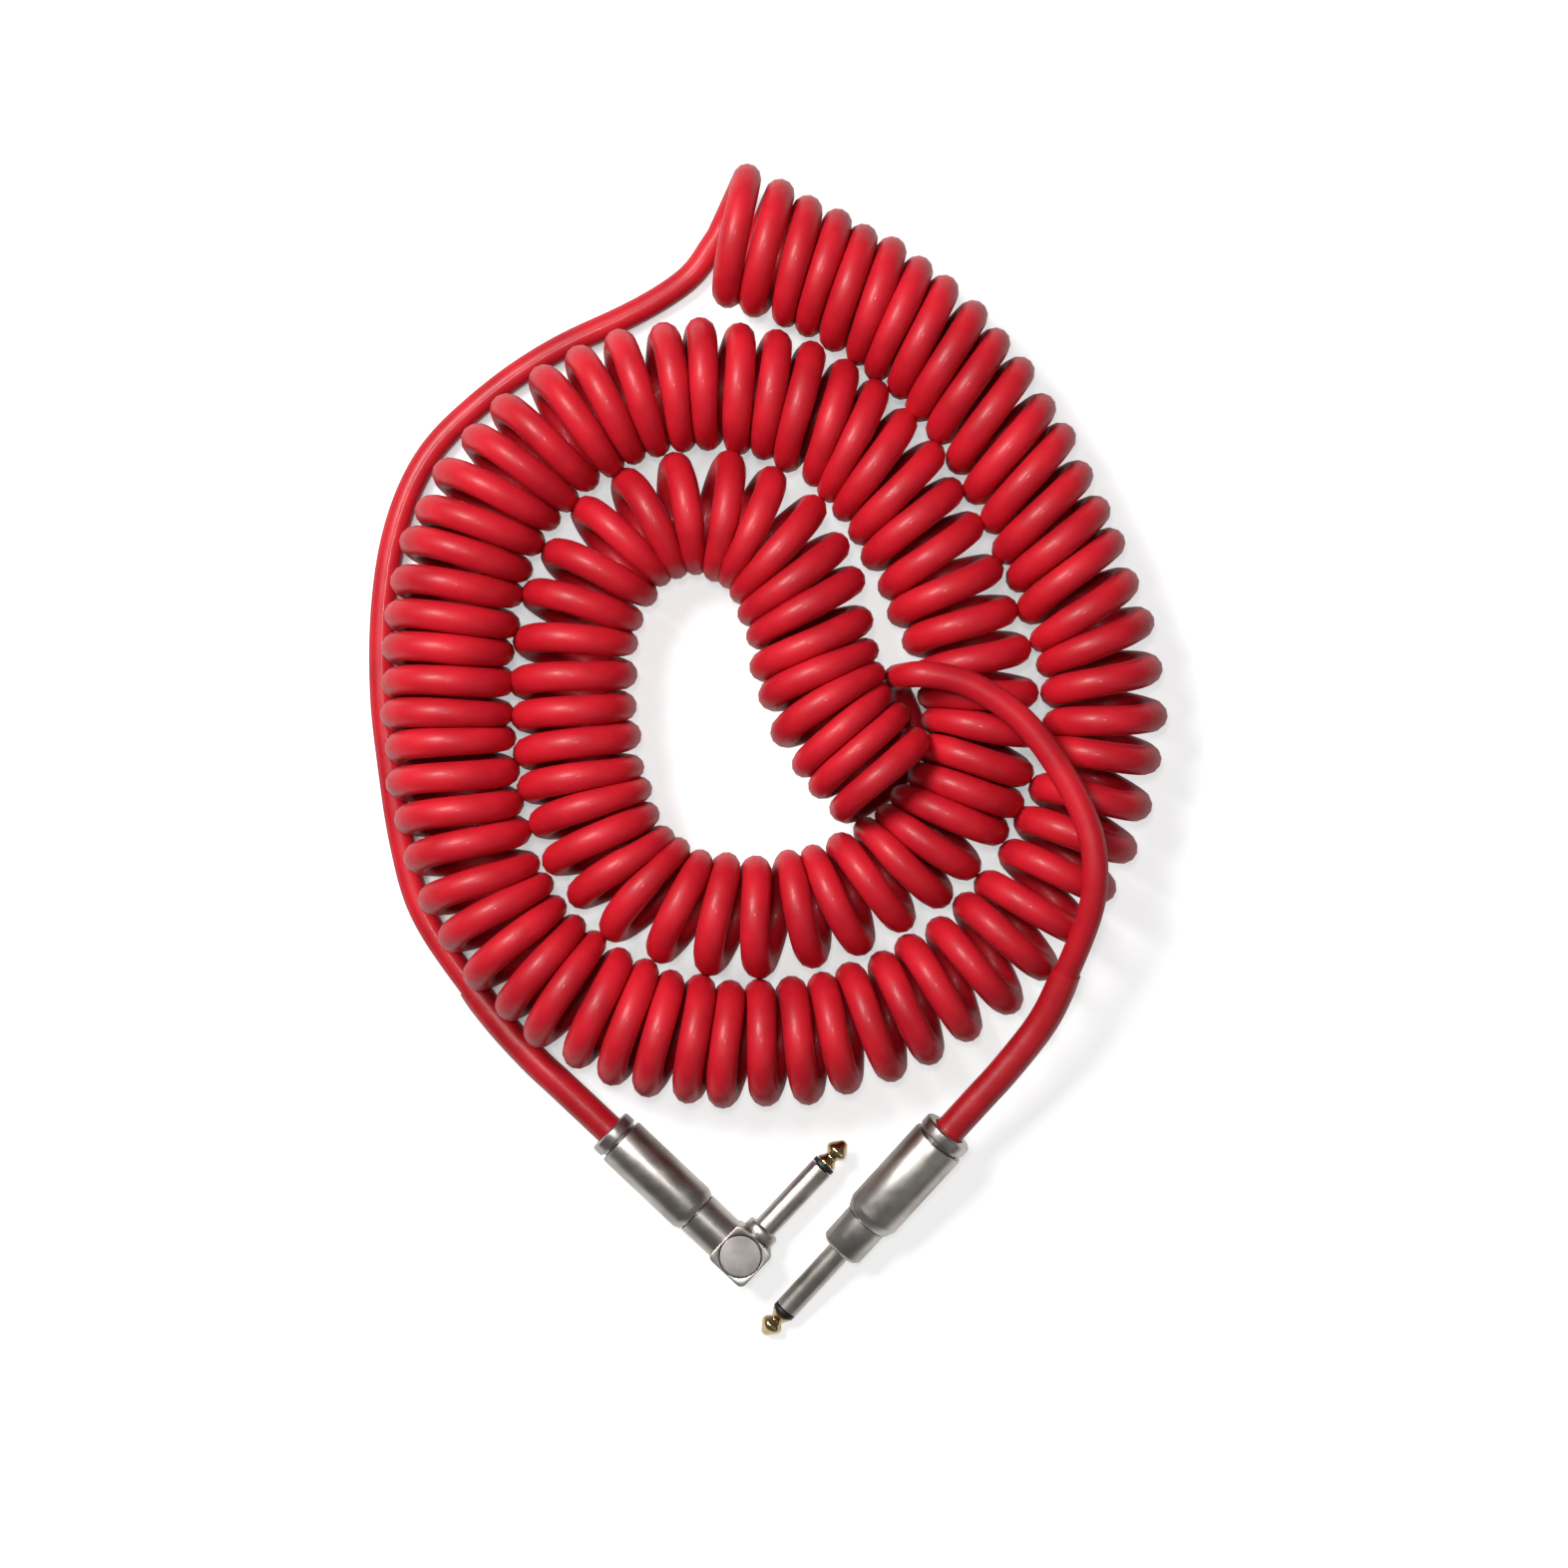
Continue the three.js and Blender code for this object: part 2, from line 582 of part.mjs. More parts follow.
const firstTurn = 0.5; // the cord comes in at the bottom of the first curl
const lastTurn = curlCount + 0.25; // and leaves downwards on the inner side of the last
const tracedPerTurn = (tracedCurls - firstTurn) / (curlCount - firstTurn);

// The way from the first curl's foot out along the lead.
const leadInWay = new THREE.Vector3(-0.6, -0.8, 0);

/** The middle of the curly cord: a straight end, the curls, a straight end. */
function curlyRoute() {
  const points = [];
  const steps = Math.round((lastTurn - firstTurn) * stepsPerCurl);
  for (let step = 0; step <= steps; step += 1) {
    const turns = firstTurn + step / stepsPerCurl;
    const count = firstTurn + (turns - firstTurn) * tracedPerTurn;
    points.push(curlPoint(count, turns));
  }
  const first = points[0].clone().addScaledVector(leadInWay, cordDiameter);
  const last = points[points.length - 1].clone().addScaledVector(up, -cordDiameter);
  return [first, ...points, last];
}

/** A closed tube along the curls, each section turned to have a corner on the coil's axis side. */
function tubeAlong(route, radius, sides) {
  const positions = [];
  const index = [];
  route.forEach((point, ringNumber) => {
    const before = route[Math.max(ringNumber - 1, 0)];
    const after = route[Math.min(ringNumber + 1, route.length - 1)];
    const along = after.clone().sub(before).normalize();
    const entering = point.clone().sub(before).normalize();
    const leaving = after.clone().sub(point).normalize();
    const straightness = ringNumber === 0 || ringNumber === route.length - 1
      ? 1 : Math.sqrt((1 + entering.dot(leaving)) / 2);
    const count = firstTurn + ((ringNumber - 1) / stepsPerCurl) * tracedPerTurn;
    const axisWay = axisAt(Math.min(Math.max(count, firstTurn), tracedCurls + 0.5)).along;
    const outward = axisWay.clone().cross(along).normalize();
    const sideways = along.clone().cross(outward).normalize();
    for (let side = 0; side < sides; side += 1) {
      const angle = (2 * Math.PI * side) / sides;
      const spot = point.clone();
      spot.addScaledVector(sideways, radius * Math.cos(angle));
      spot.addScaledVector(outward, (radius * Math.sin(angle)) / straightness);
      positions.push(spot.x, spot.y, spot.z);
    }
  });
  for (let ringNumber = 0; ringNumber < route.length - 1; ringNumber += 1) {
    for (let side = 0; side < sides; side += 1) {
      const a = ringNumber * sides + side;
      const b = ringNumber * sides + ((side + 1) % sides);
      index.push(a, b + sides, b, a, a + sides, b + sides);
    }
  }
  const lastRing = (route.length - 1) * sides;
  for (let side = 1; side < sides - 1; side += 1) {
    index.push(0, side, side + 1);
    index.push(lastRing, lastRing + side + 1, lastRing + side);
  }
  const geometry = new THREE.BufferGeometry();
  geometry.setAttribute('position', new THREE.Float32BufferAttribute(positions, 3));
  geometry.setIndex(index);
  return geometry;
}

/** Least distance between surface points of the tube that are at least half a curl apart. */
function leastSelfGap(geometry, sides) {
  const corner = geometry.attributes.position;
  const rings = corner.count / sides;
  const samples = [];
  const read = (ringNumber, side) => new THREE.Vector3().fromBufferAttribute(
    corner, ringNumber * sides + (side % sides));
  for (let ringNumber = 0; ringNumber < rings - 1; ringNumber += 1) {
    for (let side = 0; side < sides; side += 1) {
      const a = read(ringNumber, side);
      const b = read(ringNumber, side + 1);
      const c = read(ringNumber + 1, side);
      const d = read(ringNumber + 1, side + 1);
      for (const along of [0, 0.25, 0.5, 0.75]) {
        for (const across of [0, 1 / 3, 2 / 3]) {
          const spot = a.clone().lerp(b, across).lerp(c.clone().lerp(d, across), along);
          samples.push({ spot, at: ringNumber + along });
        }
      }
    }
  }
  const cell = 4;
  const cells = new Map();
  const key = (x, y, z) => `${x},${y},${z}`;
  for (const sample of samples) {
    sample.cell = sample.spot.toArray().map((value) => Math.floor(value / cell));
    const name = key(...sample.cell);
    if (!cells.has(name)) cells.set(name, []);
    cells.get(name).push(sample);
  }
  let least = { distance: Infinity };
  for (const sample of samples) {
    const [cx, cy, cz] = sample.cell;
    for (let x = cx - 1; x <= cx + 1; x += 1) {
      for (let y = cy - 1; y <= cy + 1; y += 1) {
        for (let z = cz - 1; z <= cz + 1; z += 1) {
          for (const other of cells.get(key(x, y, z)) ?? []) {
            if (other.at - sample.at < stepsPerCurl / 2) continue;
            const distance = sample.spot.distanceTo(other.spot);
            if (distance < least.distance) least = { distance, from: sample, to: other };
          }
        }
      }
    }
  }
  return least;
}

const route = curlyRoute();
const coilTube = tubeAlong(route, cordRadius, coilSides);
const least = leastSelfGap(coilTube, coilSides);
console.log(`curly cord: least gap to itself ${least.distance.toFixed(2)} mm, between curls `
  + `${(least.from.at / stepsPerCurl).toFixed(1)} and ${(least.to.at / stepsPerCurl).toFixed(1)}`);

/** The curly cord, with flats where its curls stand on the table. */
function curlyCord() {
  const reach = 400;
  const belowTable = block(-reach, reach, -reach, reach, -20, 0);
  return cut(coilTube, belowTable);
}

// ---------------------------------------------------------------- plain leads and sleeves

/** A round section with the given sides, and a bore in it if one is given. */
function roundSection(radius, sides, bore = 0) {
  const spots = (r) => Array.from({ length: sides }, (_, side) => {
    const angle = (2 * Math.PI * (side + 0.5)) / sides;
    return new THREE.Vector2(r * Math.cos(angle), r * Math.sin(angle));
  });
  const section = new THREE.Shape(spots(radius));
  if (bore > 0) section.holes.push(new THREE.Path(spots(bore)));
  return section;
}

/** A tube along the middle of the cord. */
function tube(path, section, steps) {
  return new THREE.ExtrudeGeometry(section, { steps, bevelEnabled: false, extrudePath: path });
}

function spline(points) {
  return new THREE.CatmullRomCurve3(points, false, 'centripetal');
}

const toPoint = ([x, y, z]) => new THREE.Vector3(x, y, z);

/** Points at even steps on the straight run behind a plug. */
function straightRun(behind, from, to) {
  const spacing = 6;
  const runs = Math.ceil((to - from) / spacing);
  return Array.from({ length: runs + 1 }, (_, run) => behind(from + ((to - from) * run) / runs));
}

const coilStart = route[0];
const coilStartWay = leadInWay;
const coilEnd = route[route.length - 1];
const coilEndWay = coilEnd.clone().sub(route[route.length - 2]).normalize();

/** The last points of a lead, square to the end of the curly cord. */
function meeting(end, way, shares) {
  return shares.map((share) => end.clone().addScaledVector(way, gap + share * cordDiameter));
}

const elbowLeadPoints = [
  ...straightRun(behindElbow, headToCollarEnd - cordEndInset, headToCollarEnd + straightRunLength),
  ...elbowLeadRoute.map(toPoint),
  ...meeting(coilStart, coilStartWay, [0.3, 0]),
];
const straightLeadPoints = [
  ...straightRun(behindStraight, straightLength - cordEndInset, straightLength + straightRunLength),
  ...straightLeadRoute.map(toPoint),
  ...meeting(coilEnd, coilEndWay, [0.5, 0]),
];

/** The stretch of a lead that its sleeve covers. */
class SleevedStretch extends THREE.Curve {
  constructor(lead, start, end) {
    super();
    this.lead = lead;
    this.start = start;
    this.end = end;
  }

  getPoint(share, target = new THREE.Vector3()) {
    const distance = this.start + (this.end - this.start) * share;
    return this.lead.getPointAt(distance / this.lead.getLength(), target);
  }
}

/** Both leads start at the cut end of the jacket, so the collar's rear face is at the inset. */
function sleevedStretch(lead) {
  return new SleevedStretch(lead, cordEndInset - sleeveInside, cordEndInset + sleeveLength);
}

const elbowLeadPath = spline(elbowLeadPoints);
const straightLeadPath = spline(straightLeadPoints);
const cordSection = roundSection(cordRadius, leadSides);
const sleeveSection = roundSection(sleeveRadius, sleeveSides, sleeveBore);

// ---------------------------------------------------------------- the whole cable

const cable = new THREE.Group();
cable.position.copy(toOrigin);
cable.add(placed(straightPlug(), straightShoulder, straightHeading));
cable.add(placed(elbowPlug(), elbowCentre, elbowHeading));
cable.add(piece('lead_to_elbow_plug', tube(elbowLeadPath, cordSection, leadSteps), redJacket));
cable.add(piece('lead_to_straight_plug', tube(straightLeadPath, cordSection, leadSteps), redJacket));
cable.add(piece('curly_cord', curlyCord(), redJacket));
const elbowSleeve = tube(sleevedStretch(elbowLeadPath), sleeveSection, sleeveSteps);
const straightSleeve = tube(sleevedStretch(straightLeadPath), sleeveSection, sleeveSteps);
cable.add(piece('elbow_cord_sleeve', elbowSleeve, redSleeve));
cable.add(piece('straight_cord_sleeve', straightSleeve, redSleeve));

export default cable;
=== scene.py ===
"""A curly instrument cable laid in a loose spiral, with a right-angle plug and a straight plug."""
import logging
import math
from dataclasses import dataclass
from enum import Enum
from functools import cache
from typing import Callable, Optional, Sequence

import bmesh
import bpy
from mathutils import Matrix, Vector


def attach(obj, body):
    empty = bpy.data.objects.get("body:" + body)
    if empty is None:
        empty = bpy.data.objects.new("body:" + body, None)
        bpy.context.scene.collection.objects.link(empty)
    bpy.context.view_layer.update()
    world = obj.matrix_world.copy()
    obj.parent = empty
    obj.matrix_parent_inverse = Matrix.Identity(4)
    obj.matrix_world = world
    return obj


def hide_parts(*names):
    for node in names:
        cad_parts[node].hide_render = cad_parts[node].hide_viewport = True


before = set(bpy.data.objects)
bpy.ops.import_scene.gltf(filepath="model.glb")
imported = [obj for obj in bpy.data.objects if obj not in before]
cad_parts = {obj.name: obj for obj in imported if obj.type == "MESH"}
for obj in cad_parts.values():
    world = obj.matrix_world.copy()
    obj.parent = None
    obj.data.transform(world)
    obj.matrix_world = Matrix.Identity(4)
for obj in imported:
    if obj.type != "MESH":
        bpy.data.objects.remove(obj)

log = logging.getLogger("cable")

MM = 0.001
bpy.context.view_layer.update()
UP = Vector((0.0, 0.0, 1.0))
QUARTER = math.pi / 2
TO_ORIGIN = Vector((0.0010, 0.1186, 0.0))  # from the places below to the cable's own origin

Colour = tuple[float, float, float, float]
Pairs = Sequence[tuple[float, float]]
Shape = bmesh.types.BMesh
Edges = list[bmesh.types.BMEdge]
Socket = bpy.types.NodeSocket


class Body(Enum):
    """The bodies that pieces ride on."""

    CABLE = "cable"
    STRAIGHT_SHELL = "straight_shell"
    ELBOW_SHELL = "elbow_shell"


class Slot(Enum):
    """The record's material slots of the pieces that are made here."""

    JACKET = "red_jacket"
    SLEEVE = "red_sleeve"
    SATIN = "satin_nickel"
    BRIGHT = "bright_nickel"
    GOLD = "gold_contact"
    BLACK = "black_insulator"


# ---- node board


@dataclass(frozen=True)
class Noise:
    """A noise, with its features counted in a metre, and the part of its range that is used."""

    scale: float
    detail: float = 3.0
    roughness: float = 0.55
    low: float = 0.0
    high: float = 1.0


class Board:
    """A new material's or world's node tree, with short calls that add and join its nodes."""

    def __init__(self, name: str, world: bool = False) -> None:
        """Start with no nodes, in a material or a world of that name."""
        self.owner = (bpy.data.worlds if world else bpy.data.materials).new(name)
        self.owner.use_nodes = True
        self.tree = self.owner.node_tree
        self.tree.nodes.clear()

    def add(self, kind: str, inputs: Optional[dict] = None, **settings: object) -> bpy.types.Node:
        """Add one node.

        Args:
            kind: The node's type.
            inputs: Values or outputs, by the input's name or number.
            **settings: The node's own properties.

        Returns:
            The node.
        """
        node = self.tree.nodes.new(kind)
        for key, value in settings.items():
            setattr(node, key, value)
        for key, value in (inputs or {}).items():
            if isinstance(value, Socket):
                self.tree.links.new(value, node.inputs[key])
            else:
                node.inputs[key].default_value = value
        return node

    def place(self, scale: Sequence[float] = (1.0, 1.0, 1.0), local: bool = False) -> Socket:
        """Coordinates, stretched.

        Args:
            scale: The stretch along each axis.
            local: Whether they are the piece's own, with +Y along its axis, or the object's.

        Returns:
            The coordinates.
        """
        if local:
            place = self.add("ShaderNodeAttribute", attribute_name="local").outputs["Vector"]
        else:
            place = self.add("ShaderNodeTexCoord").outputs["Object"]
        return self.add("ShaderNodeMapping", {"Vector": place, "Scale": scale}).outputs["Vector"]

    def noise(self, place: Socket, noise: Noise) -> Socket:
        """A noise at the coordinates, from 0 to 1."""
        inputs = {"Vector": place, "Scale": noise.scale, "Detail": noise.detail,
                  "Roughness": noise.roughness}
        return self.add("ShaderNodeTexNoise", inputs).outputs[0]

    def patches(self, place: Socket, noise: Noise, to_low: float = 0.0,
                to_high: float = 1.0) -> Socket:
        """The used part of a noise, spread over a range."""
        return self.spread(self.noise(place, noise), noise.low, noise.high, to_low, to_high)

    def spread(self, value: Socket, low: float, high: float, to_low: float,
               to_high: float) -> Socket:
        """A value, its range from low to high spread over another one and held at both ends."""
        inputs = {0: value, 1: low, 2: high, 3: to_low, 4: to_high}
        return self.add("ShaderNodeMapRange", inputs).outputs[0]

    def blend(self, share: object, first: object, second: object) -> Socket:
        """Two colours mixed, with a share of the second."""
        inputs = {0: share, 6: first, 7: second}
        return self.add("ShaderNodeMix", inputs, data_type="RGBA").outputs[2]

    def combine(self, first: object, second: object, operation: str = "ADD") -> Socket:
        """Two values added, or combined by another operation."""
        return self.add("ShaderNodeMath", {0: first, 1: second}, operation=operation).outputs[0]

    def bump(self, height: Socket, depth: float, under: Optional[Socket] = None) -> Socket:
        """A bumped normal.

        Args:
            height: The height from 0 to 1.
            depth: The height of 1, in millimetres.
            under: A normal to bump further.

        Returns:
            The normal.
        """
        inputs = {"Height": height, "Distance": depth * MM, "Strength": 1.0}
        if under is not None:
            inputs["Normal"] = under
        return self.add("ShaderNodeBump", inputs).outputs["Normal"]

    def surface(self, inputs: dict) -> bpy.types.Material:
        """The material, with a Principled surface whose inputs are given by name."""
        shader = self.add("ShaderNodeBsdfPrincipled", inputs)
        self.add("ShaderNodeOutputMaterial", {"Surface": shader.outputs["BSDF"]})
        return self.owner


def linear(red: int, green: int, blue: int) -> Colour:
    """A screen colour, each channel from 0 to 255, as linear light for a socket."""
    shares = (channel / 255 for channel in (red, green, blue))
    return *(s / 12.92 if s <= 0.04045 else ((s + 0.055) / 1.055) ** 2.4 for s in shares), 1.0


# ---- finishes


@dataclass(frozen=True)
class Layer:
    """A noise as a layer of bumps, with a depth in millimetres, on stretched coordinates."""

    noise: Noise
    depth: float
    stretch: tuple[float, float, float] = (1.0, 1.0, 1.0)
    local: bool = False


@dataclass(frozen=True)
class Finish:
    """A surface of two colours in clouds, with scuffs in its roughness and layers of bumps."""

    name: str
    colour: Colour
    deep: Colour
    smooth: float
    rough: float
    clouds: Noise
    scuffs: Noise
    layers: tuple[Layer, ...]
    settings: tuple[tuple[str, float], ...] = ()

    def colours(self, board: Board, place: Socket) -> Socket:
        """The two colours in clouds."""
        return board.blend(board.patches(place, self.clouds), self.colour, self.deep)

    def make(self) -> bpy.types.Material:
        """Build the material."""
        board = Board(self.name)
        place = board.place()
        normal = None
        for layer in self.layers:
            height = board.patches(board.place(layer.stretch, layer.local), layer.noise)
            normal = board.bump(height, layer.depth, normal)
        return board.surface({
            "Base Color": self.colours(board, place), "Normal": normal,
            "Roughness": board.patches(place, self.scuffs, self.smooth, self.rough),
            **dict(self.settings),
        })


@dataclass(frozen=True)
class DustyFinish(Finish):
    """A finish with pale specks of dust that lie in drifts."""

    dust: Colour = linear(226, 120, 128)
    dustiness: float = 0.3
    specks: Noise = Noise(1900.0, 1.0, low=0.72, high=0.8)
    drifts: Noise = Noise(130.0, 2.0, low=0.5, high=0.72)

    def colours(self, board: Board, place: Socket) -> Socket:
        """The two colours in clouds, with the dust over them."""
        drifts = board.patches(place, self.drifts)
        dust = board.combine(board.patches(place, self.specks), drifts, "MULTIPLY")
        dust = board.combine(dust, self.dustiness, "MULTIPLY")
        return board.blend(dust, super().colours(board, place), self.dust)


def plated(name: str, colour: Colour, worn: Colour, smooth: float, rough: float,
           depth: float = 0.0012, grain: float = 4200.0, ringed: bool = True) -> Finish:
    """A plated metal with fingerprints and hairline scratches.

    Args:
        name: The material's name.
        colour: Its colour.
        worn: Its colour where it is worn.
        smooth: The lowest roughness.
        rough: The highest roughness.
        depth: Depth of its grain in millimetres.
        grain: Grains in a metre.
        ringed: Whether the grain is drawn out to rings, as by a lathe.

    Returns:
        The finish.
    """
    around = (0.06, 1.0, 0.06) if ringed else (1.0, 1.0, 1.0)
    return Finish(
        name, colour, worn, smooth, rough, clouds=Noise(90.0, low=0.4, high=0.7),
        scuffs=Noise(160.0, 4.0, 0.65, 0.38, 0.72), settings=(("Metallic", 1.0),),
        layers=(Layer(Noise(grain, 2.0, 0.6), depth, around, local=ringed),
                Layer(Noise(1500.0, 2.0, 0.5, 0.7, 0.78), 0.0015, (1.0, 0.12, 1.0))))


def moulded(name: str, colour: Colour, deep: Colour, smooth: float = 0.4,
            rough: float = 0.6) -> Finish:
    """A moulded plastic with a fine grain."""
    return Finish(name, colour, deep, smooth, rough, clouds=Noise(400.0),
                  scuffs=Noise(900.0, low=0.3, high=0.7), layers=(Layer(Noise(2600.0, 2.0), 0.02),))


# the cord's jacket is a soft plastic skin; its sleeve is deeper red, glossier and creased
JACKET = DustyFinish(
    "red_jacket", linear(208, 26, 42), linear(176, 14, 30), 0.42, 0.56,
    clouds=Noise(55.0, low=0.35, high=0.7), scuffs=Noise(260.0, 5.0, 0.7, 0.3, 0.75),
    layers=(Layer(Noise(1500.0, 3.0, 0.6), 0.035), Layer(Noise(150.0, 2.0), 0.12)),
    settings=(("IOR", 1.5), ("Specular IOR Level", 0.34), ("Coat Weight", 0.09),
              ("Coat Roughness", 0.12)))
SLEEVE = Finish(
    "red_sleeve", linear(186, 20, 34), linear(158, 12, 24), 0.3, 0.46,
    clouds=Noise(70.0, low=0.35, high=0.7), scuffs=Noise(320.0, 5.0, 0.7, 0.3, 0.75),
    layers=(Layer(Noise(900.0), 0.05, (1.0, 0.08, 1.0), local=True),
            Layer(Noise(240.0, 2.0), 0.1)),
    settings=(("IOR", 1.5),))
SATIN_NICKEL = plated("satin_nickel", linear(192, 186, 180), linear(158, 150, 144), 0.33, 0.45,
                      depth=0.003)
BRIGHT_NICKEL = plated("bright_nickel", linear(194, 188, 182), linear(164, 156, 150), 0.28, 0.4,
                       depth=0.0025)
CAP_NICKEL = plated("cap_nickel", linear(184, 177, 174), linear(150, 142, 139), 0.48, 0.64,
                    depth=0.03, grain=1300.0, ringed=False)
GOLD = plated("gold_contact", linear(206, 184, 138), linear(172, 146, 100), 0.14, 0.26)
TINNED = plated("tinned_lug", linear(188, 180, 158), linear(160, 150, 126), 0.3, 0.5, ringed=False)
SOLDER = plated("solder", linear(176, 176, 174), linear(140, 140, 140), 0.3, 0.5, ringed=False)
COPPER = plated("bare_copper", linear(200, 128, 84), linear(160, 92, 58), 0.3, 0.45, ringed=False)
BLACK = moulded("black_insulator", linear(12, 12, 13), linear(22, 21, 21), 0.4, 0.55)
NYLON = moulded("pale_nylon", linear(216, 212, 200), linear(200, 194, 180))
CORE = moulded("core_insulation", linear(232, 228, 220), linear(214, 208, 198))


@dataclass(frozen=True)
class FloorFinish:
    """The plain white table: white where nothing shades it, with painted shade in gaps between
    curls.
    """

    name: str = "table"
    colour: Colour = (0.6, 0.595, 0.595, 1.0)
    unlit: Colour = (0.26, 0.25, 0.25, 1.0)
    lift: float = 0.66
    mirrored: float = 0.6
    # how far occlusion looks, and the shares that set the painted shade in the gaps between curls
    reach: float = 0.014
    crowded: float = 0.12
    free: float = 0.34
    darkest_painted_shade: float = 0.12

    def make(self) -> bpy.types.Material:
        """Build the material, which shines for the camera and fainter for what mirrors it."""
        board = Board(self.name)
        rays = board.add("ShaderNodeLightPath").outputs
        seen = board.combine(rays["Is Camera Ray"], rays["Is Glossy Ray"], "MAXIMUM")
        seen = board.combine(seen, rays["Is Transmission Ray"], "MAXIMUM")
        dimmed = board.combine(rays["Is Glossy Ray"], self.mirrored - 1, "MULTIPLY")
        lift = board.combine(board.combine(seen, dimmed), self.lift, "MULTIPLY")
        # painted shade: occlusion dims the floor's glow in narrow gaps between curls, down to the
        # darkest share
        gap = board.add("ShaderNodeAmbientOcclusion", {"Distance": self.reach}, samples=8)
        bright = board.spread(gap.outputs["AO"], self.crowded, self.free, self.darkest_painted_shade, 1.0)
        return board.surface({
            "Base Color": board.blend(seen, self.unlit, self.colour), "Roughness": 0.9,
            "Specular IOR Level": 0.1, "Emission Color": (1.0, 1.0, 1.0, 1.0),
            "Emission Strength": board.combine(lift, bright, "MULTIPLY"),
        })


@cache
def material_of(finish: object) -> bpy.types.Material:
    """The finish's material, made once."""
    return finish.make()


# ---- shaping


TOUCHING = 1e-7  # points as near as this, in metres, are one


def turned(outline: Pairs, closed: bool, segments: int = 96) -> Shape:
    """Spin an outline about +Y.

    Args:
        outline: [radius, height] in millimetres.
        closed: Whether the last point joins the first, as on a bored piece.
        segments: Steps of the spin.

    Returns:
        The closed shape.
    """
    shape = bmesh.new()
    spots = [shape.verts.new((radius * MM, height * MM, 0.0)) for radius, height in outline]
    edges = [shape.edges.new(pair) for pair in zip(spots, spots[1:])]
    if closed:
        edges.append(shape.edges.new((spots[-1], spots[0])))
    bmesh.ops.spin(shape, geom=spots + edges, cent=(0, 0, 0), axis=(0, 1, 0), dvec=(0, 0, 0),
                   angle=2 * math.pi, steps=segments, use_merge=True)
    bmesh.ops.remove_doubles(shape, verts=shape.verts, dist=TOUCHING)
    bmesh.ops.dissolve_degenerate(shape, edges=shape.edges, dist=TOUCHING / 10)
    bmesh.ops.recalc_face_normals(shape, faces=shape.faces)
    return shape


def rounded(shape: Shape, width: float, steps: int, least: float, beyond: float = 0.0) -> None:
    """Round the sharp edges.

    Args:
        shape: The shape.
        width: Width of the rounding in millimetres.
        steps: Steps of the rounding.
        least: The angle, in degrees, from which an edge counts as sharp.
        beyond: How far from the Z axis, in millimetres, the rounding begins.
    """
    edges = [edge for edge in shape.edges if edge.calc_face_angle(0.0) > math.radians(least)
             and edge.verts[0].co.to_2d().length >= beyond * MM]
    bmesh.ops.bevel(shape, geom=edges, offset=width * MM, offset_type="OFFSET", segments=steps,
                    profile=0.5, affect="EDGES", clamp_overlap=True, material=-1)


def edges_of(verts: Sequence[bmesh.types.BMVert]) -> Edges:
    """The edges at some points, each once."""
    return list({edge for vert in verts for edge in vert.link_edges})


def bridged(shape: Shape, rings: Sequence[Edges]) -> None:
    """Join each ring of edges to the next one with faces, and turn the faces outward."""
    for first, second in zip(rings, rings[1:]):
        bmesh.ops.bridge_loops(shape, edges=first + second)
    bmesh.ops.recalc_face_normals(shape, faces=shape.faces)


def mesh_of(shape: Shape, name: str) -> bpy.types.Mesh:
    """A mesh from a shape, which is freed."""
    mesh = bpy.data.meshes.new(name)
    shape.to_mesh(mesh)
    shape.free()
    return mesh


def joined(first: Shape, second: Shape) -> Shape:
    """The first shape, with the second one's mesh added; the second is freed."""
    spare = mesh_of(second, "spare")
    first.from_mesh(spare)
    bpy.data.meshes.remove(spare)
    return first


def linked(name: str, data: bpy.types.ID) -> bpy.types.Object:
    """A new object with its data, in the scene."""
    thing = bpy.data.objects.new(name, data)
    bpy.context.scene.collection.objects.link(thing)
    return thing


def showpiece(shape: Shape, name: str, finish: Finish, body: Body, node: str,
              sharp: float = 40.0) -> bpy.types.Object:
    """Make a shape a piece that rides on a body and stands for a CAD node.

    Args:
        shape: The shape in its place, freed here.
        name: The piece's name.
        finish: The finish that makes its material.
        body: The body that it rides on.
        node: The CAD node that it stands for.
        sharp: The angle, in degrees, from which an edge is shaded as sharp.

    Returns:
        The piece.
    """
    mesh = mesh_of(shape, name)
    mesh.shade_smooth()
    mesh.set_sharp_from_angle(angle=math.radians(sharp))
    mesh.materials.append(material_of(finish))
    piece = linked(name, mesh)
    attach(piece, body.value)
    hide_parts(node)
    log.info("%s: %d faces on %s", name, len(mesh.polygons), body.value)
    return piece


def show_plug(plug: str, pieces: Sequence[tuple]) -> None:
    """Move each piece of a plug from its own axis to its place, and show it.

    Args:
        plug: The plug's word in the names.
        pieces: Each piece's name, shape, place, finish, body and CAD node.
    """
    for name, shape, place, finish, body, node in pieces:
        own = shape.verts.layers.float_vector.new("local")
        for vert in shape.verts:
            vert[own] = vert.co
        bmesh.ops.transform(shape, matrix=place, verts=shape.verts)
        showpiece(shape, f"{plug}_plug_{name}", finish, body, f"{plug}_{node}")


# ---- routes


